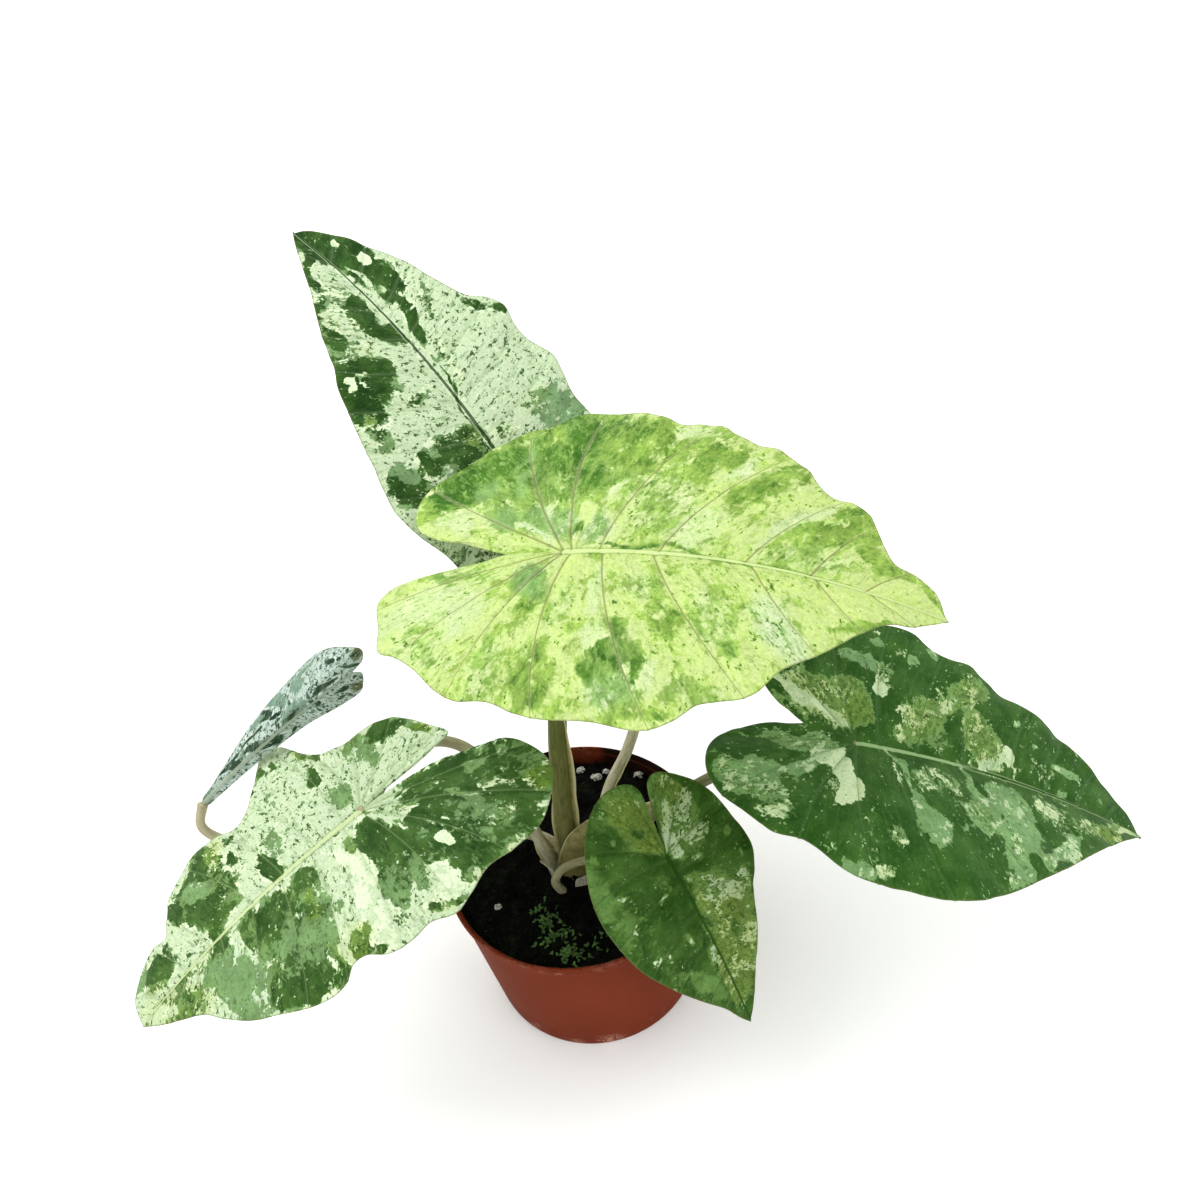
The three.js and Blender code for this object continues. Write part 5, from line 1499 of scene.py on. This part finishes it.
def add_seedlings(sizes, material):
    """Tiny seedlings and moss that grow on the soil in front of the stalks."""
    generator = np.random.default_rng(5)
    batch = Batch()
    u = np.linspace(0, 1, 6)
    for cx, cy, spread, amount in SEEDLING_PATCHES:
        for _ in range(int(amount * sizes.seedlings)):
            x, y = (cx, cy) + generator.normal(0, spread * 0.55, 2)
            if math.hypot(x, y) > 54:
                continue
            ground = fine_soil_height(x, y) - 0.3
            tall = generator.uniform(0.6, 3.2)
            lean = generator.normal(0, 0.3, 2)
            top = np.array([x + lean[0] * tall, y + lean[1] * tall, ground + tall])
            stem = np.linspace((x, y, ground), top, 4)
            vertices, faces, _, _ = tube(stem, [0.22, 0.2, 0.17, 0.12], 5)
            batch.add(vertices, faces)
            for k in range(generator.integers(2, 5)):
                bearing = generator.uniform(0, 2 * math.pi)
                length = generator.uniform(0.9, 2.2)
                width = length * generator.uniform(0.2, 0.38)
                direction = unit(np.array([math.cos(bearing), math.sin(bearing), generator.uniform(0, 1.5)]))
                beside = unit(np.cross(direction, (0, 0, 1.0)))
                upward = np.cross(beside, direction)
                base = stem[generator.integers(1, 4)]
                profile = width * np.sin(math.pi * (0.08 + 0.9 * u)) ** 0.8
                spine = base + np.outer(u * length, direction) + np.outer(-0.25 * length * u**2, upward)
                aside, raised = np.outer(profile, beside), np.outer(0.25 * profile, upward)
                grid = np.stack([spine - aside + raised, spine, spine + aside + raised], axis=1)
                batch.add(*thin_sheet(grid, 0.12))
    return batch.place("seedlings", [material], "soil")


def add_pot(sizes, material):
    """The tapered nursery pot with its rim band, rounded foot and drain holes."""
    wall = sizes.wall / SCALE
    height, rim, foot = sizes.height / SCALE, sizes.rim_radius / SCALE, sizes.foot_radius / SCALE
    lip, band, floor = sizes.lip / SCALE, sizes.band / SCALE, sizes.floor / SCALE

    def outer(z):
        return foot + (rim - lip - foot) * z / height

    bend = np.linspace(0, math.pi / 2, 7)
    bottom = [(foot - 1.5 + 1.5 * math.sin(a), 1.5 - 1.5 * math.cos(a)) for a in bend]
    start = height - band - 0.6
    lower = [(outer(z), z) for z in np.linspace(3, start, 26)]
    fillet = [(outer(start) + (rim - outer(height - band)) * t, start + 1.3 * (1 - (1 - t) ** 2))
              for t in np.linspace(0.15, 0.95, 7)]
    edge = [(rim - 0.62 + 0.62 * math.cos(a), height - 0.62 + 0.62 * math.sin(a))
            for a in np.linspace(0, math.pi, 11)]
    inner = [(outer(z) - wall, z) for z in np.linspace(height - 2.2, floor + 1.2, 24)]
    corner = [(outer(floor) - wall - 1.2 + 1.2 * math.cos(a), floor + 1.2 - 1.2 * math.sin(a))
              for a in bend[1:]]
    profile = [(0, 0), *bottom, *lower, *fillet, (rim, height - 2), *edge, *inner, *corner, (0, floor)]
    vertices, faces = turned(profile, sizes.segments)
    # The top of the wall is a little out of round, with one small dent in the rim
    angle = np.arctan2(vertices[:, 1], vertices[:, 0])
    radius = np.hypot(vertices[:, 0], vertices[:, 1])
    up = smoothstep(height - 9, height, vertices[:, 2]) * smoothstep(40, 50, radius)
    apart = (angle - math.atan2(-61.5, -3.2) + math.pi) % (2 * math.pi) - math.pi
    dent = np.exp(-(apart * rim / 2.2) ** 2) * up
    warp = 0.25 * np.sin(2 * angle + 0.7) + 0.12 * np.sin(5 * angle)
    vertices[:, 2] -= 0.8 * dent * (vertices[:, 2] > height - 3)
    scale = 1 + (warp * up - 0.55 * dent) / np.maximum(radius, 1)
    vertices[:, :2] *= scale[:, None]
    shell = new_object("pot_shell", vertices, faces, [material])
    cutters = Batch()
    drain = sizes.drain_radius / SCALE
    for i in range(sizes.drain_holes):
        turn = (i + 0.5) / sizes.drain_holes * 2 * math.pi
        hole, hole_faces = turned([(0, -2), (drain, -2), (drain, floor + 2), (0, floor + 2)], 40)
        cutters.add(hole + (33 * math.cos(turn), 33 * math.sin(turn), 0), hole_faces)
    tool = new_object("drain_tool", np.vstack(cutters.vertices), cutters.faces, [])
    cut = shell.modifiers.new("drain", "BOOLEAN")
    cut.object = tool
    cut.operation = "DIFFERENCE"
    cut.solver = "EXACT"
    ready = shell.evaluated_get(bpy.context.evaluated_depsgraph_get())
    mesh = bpy.data.meshes.new_from_object(ready)
    for helper in (shell, tool):
        bpy.data.objects.remove(helper)
    mesh.name = "pot_fine"
    piece = smooth_object("pot_fine", mesh)
    mesh.set_sharp_from_angle(angle=38 * DEGREE)
    return claim(piece, ["pot"])


# Settings

def length(name, description, default):
    """A length setting in metres."""
    return amount(name, description, default, unit="LENGTH", precision=4)


def amount(name, description, default, least=0.0, **details):
    """A setting that isn't below its least value."""
    return FloatProperty(name=name, description=description, default=default, min=least, **details)


def count(name, description, default, least):
    """A whole number that isn't below its least value."""
    return IntProperty(name=name, description=description, default=default, min=least)


def turn(name, description, degrees):
    """An angle."""
    return FloatProperty(name=name, description=description, default=degrees * DEGREE, subtype="ANGLE",
                         unit="ROTATION")


class PotSettings(bpy.types.PropertyGroup):
    """Sizes and finish of the pot."""

    height: length("Height", "Height of the pot", 0.09)
    rim_radius: length("Rim radius", "Outer radius of the rim", 0.06)
    foot_radius: length("Foot radius", "Outer radius at the foot", 0.049)
    wall: length("Wall", "Thickness of the wall", 0.0013)
    floor: length("Floor", "Thickness of the floor", 0.002)
    lip: length("Lip", "How far the rim band stands out", 0.0009)
    band: length("Rim band", "Height of the rim band", 0.005)
    drain_radius: length("Drain hole radius", "Radius of a drain hole", 0.0045)
    drain_holes: count("Drain holes", "Number of drain holes", 6, 0)
    segments: count("Segments", "Corners of the pot's round outline", 144, 12)
    plastic: FloatVectorProperty(name="Plastic", description="Colour of the plastic", subtype="COLOR", size=3,
                                 default=(0.146, 0.026, 0.010), min=0, max=1)
    roughness: amount("Roughness", "Roughness of the plastic", 0.4, max=1)


class SoilSettings(bpy.types.PropertyGroup):
    """Detail of the soil and what grows on it."""

    soil_rings: count("Rings", "Rings of points over the soil's top", 110, 8)
    soil_spokes: count("Spokes", "Points round every ring of the soil", 300, 12)
    crumbs: count("Crumbs", "Number of loose crumbs", 520, 0)
    seedlings: amount("Seedlings", "How densely the seedlings grow", 1.0)


class LeafSettings(bpy.types.PropertyGroup):
    """Shape and detail of the blades and stalks."""

    blade_thickness: length("Blade thickness", "Thickness of a blade away from its veins", 0.0006)
    quilting: length("Quilting", "How far the tissue swells between two side veins", 0.0008)
    vein_bow: amount("Vein bow", "How strongly the side veins bend towards the tip", 0.11, max=0.5)
    column_spacing: amount("Column spacing", "Millimetres between the columns of a blade", 1.25, 0.3)
    rows: count("Rows", "Rows of a blade from its midrib to its edge", 44, 18)
    stalk_sides: count("Stalk sides", "Points round a stalk", 28, 6)
    stalk_steps: count("Stalk steps", "Rings along a stalk", 130, 8)
    patch_gain: amount("Patch gain", "How closely the markings follow their patches", 0.36, 0.1)
    tissue_depth: amount("Tissue depth", "How much light the leaf tissue gives back", 0.71, max=1)
    bump_depth: length("Relief depth", "Depth of the finest relief of the leaf skin", 0.00018)


class StageSettings(bpy.types.PropertyGroup):
    """Floor, light and camera."""

    floor_size: length("Floor size", "Side length of the floor", 8.0)
    sky: amount("Sky", "Strength of the even white light", 1.05)
    key: amount("Key light", "Power of the large soft light", 14.0, subtype="POWER", unit="POWER")
    fill: amount("Fill light", "Power of the weaker second light", 4.0, subtype="POWER", unit="POWER")
    lens: amount("Lens", "Focal length of the camera in millimetres", 48.0, 10)
    elevation: turn("Elevation", "Angle of the camera above the horizon", 47.26)
    camera_roll: turn("Roll", "Turn of the camera about its own axis", -9.04)
    distance: length("Distance", "Distance of the camera", 0.792)
    aside: length("Aside", "Shift of the camera to its right", 0.00156)
    above: length("Above", "Shift of the camera upwards", 0.1747)


class PlantSettings(bpy.types.PropertyGroup):
    """All settings of the potted plant."""

    pot: PointerProperty(type=PotSettings)
    soil: PointerProperty(type=SoilSettings)
    leaf: PointerProperty(type=LeafSettings)
    stage: PointerProperty(type=StageSettings)


# Operators

class AddPot(bpy.types.Operator):
    """Add the nursery pot"""

    bl_idname = "plant.add_pot"
    bl_label = "Pot"

    def execute(self, context):
        settings = context.scene.potted_plant.pot
        add_pot(settings, pot_material(settings))
        return {"FINISHED"}


class AddSoil(bpy.types.Operator):
    """Add the compost with its crumbs and the perlite grains"""

    bl_idname = "plant.add_soil"
    bl_label = "Soil and perlite"

    def execute(self, context):
        add_soil(context.scene.potted_plant.soil, soil_material())
        add_perlite(perlite_material())
        return {"FINISHED"}


class AddSeedlings(bpy.types.Operator):
    """Add the tiny seedlings and moss on the soil"""

    bl_idname = "plant.add_seedlings"
    bl_label = "Seedlings"

    def execute(self, context):
        add_seedlings(context.scene.potted_plant.soil, moss_material())
        return {"FINISHED"}


class AddCrown(bpy.types.Operator):
    """Finish the rootstock and add the dry scales round it"""

    bl_idname = "plant.add_crown"
    bl_label = "Rootstock and dry scales"

    def execute(self, context):
        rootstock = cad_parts["rootstock"]
        skin = root_material()
        for slot in rootstock.material_slots:
            slot.material = skin
        paper = papery_material()
        for name in DRY_SCALES:
            add_dry_scale(name, paper)
        return {"FINISHED"}


class AddStalks(bpy.types.Operator):
    """Add the six leaf stalks"""

    bl_idname = "plant.add_stalks"
    bl_label = "Stalks"

    def execute(self, context):
        skin, sheath = stalk_material(), sheath_material()
        for name in LEAVES:
            add_stalk(name, context.scene.potted_plant.leaf, skin, sheath)
        return {"FINISHED"}


class AddBlades(bpy.types.Operator):
    """Add the six leaf blades"""

    bl_idname = "plant.add_blades"
    bl_label = "Leaf blades"

    def execute(self, context):
        settings = context.scene.potted_plant.leaf
        for name in LEAVES:
            blade_piece(name, settings, [leaf_material(name, settings)])
        return {"FINISHED"}


class AddStage(bpy.types.Operator):
    """Add the floor, the lights and the camera"""

    bl_idname = "plant.add_stage"
    bl_label = "Stage"

    def execute(self, context):
        scene = context.scene
        settings = scene.potted_plant.stage
        half = settings.floor_size / SCALE / 2
        corners = [(-half, -half, 0), (half, -half, 0), (half, half, 0), (-half, half, 0)]
        floor = new_object("floor", corners, [(0, 1, 2, 3)], [floor_material()])
        world = bpy.data.worlds.new("studio")
        scene.world = world
        world.use_nodes = True
        background = world.node_tree.nodes["Background"]
        background.inputs["Color"].default_value = (1.0, 1.0, 1.0, 1.0)
        background.inputs["Strength"].default_value = settings.sky
        for name, power, place, size in (("key_light", settings.key, (-0.75, 0.35, 1.35), 1.1),
                                         ("fill_light", settings.fill, (0.9, -0.7, 1.1), 0.9)):
            lamp = bpy.data.lights.new(name, "AREA")
            lamp.energy = power
            lamp.size = size
            light = bpy.data.objects.new(name, lamp)
            light.location = place
            aim = Vector((0, 0.03, 0.1)) - light.location
            light.rotation_euler = aim.to_track_quat("-Z", "Y").to_euler()
            scene.collection.objects.link(light)
        camera = bpy.data.cameras.new("camera")
        camera.lens = settings.lens
        camera.sensor_width = 36
        camera.clip_start = 0.01
        eye = bpy.data.objects.new("camera", camera)
        scene.collection.objects.link(eye)
        back = Vector((0, -math.cos(settings.elevation), math.sin(settings.elevation)))
        level = Vector((1, 0, 0))
        upright = back.cross(level)
        turn = settings.camera_roll
        right = math.cos(turn) * level + math.sin(turn) * upright
        up = -math.sin(turn) * level + math.cos(turn) * upright
        place = back * settings.distance + right * settings.aside + up * settings.above
        eye.matrix_world = Matrix.Translation(place) @ Matrix((right, up, back)).transposed().to_4x4()
        scene.camera = eye
        scene.view_settings.view_transform = "Standard"
        scene.view_settings.look = "None"
        return {"FINISHED"}


class PlantPanel(bpy.types.Panel):
    """Sidebar panel with one button for every piece of the plant"""

    bl_idname = "VIEW3D_PT_potted_plant"
    bl_label = "Potted plant"
    bl_space_type = "VIEW_3D"
    bl_region_type = "UI"
    bl_category = "Plant"

    def draw(self, context):
        settings = context.scene.potted_plant
        for operator in OPERATORS:
            self.layout.operator(operator.bl_idname)
        for group in (settings.pot, settings.soil, settings.leaf, settings.stage):
            box = self.layout.box()
            for key in group.__annotations__:
                box.prop(group, key)


OPERATORS = (AddPot, AddSoil, AddSeedlings, AddCrown, AddStalks, AddBlades, AddStage)
GROUPS = (PotSettings, SoilSettings, LeafSettings, StageSettings, PlantSettings)


def register():
    """Registers the settings, operators and panel."""
    for kind in (*GROUPS, *OPERATORS, PlantPanel):
        bpy.utils.register_class(kind)
    bpy.types.Scene.potted_plant = PointerProperty(type=PlantSettings)


def unregister():
    """Removes what register added."""
    del bpy.types.Scene.potted_plant
    for kind in reversed((*GROUPS, *OPERATORS, PlantPanel)):
        bpy.utils.unregister_class(kind)


def main():
    """Builds the plant on its stage."""
    register()
    bpy.ops.plant.add_pot()
    bpy.ops.plant.add_soil()
    bpy.ops.plant.add_seedlings()
    bpy.ops.plant.add_crown()
    bpy.ops.plant.add_stalks()
    bpy.ops.plant.add_blades()
    bpy.ops.plant.add_stage()


if __name__ == "__main__":
    main()
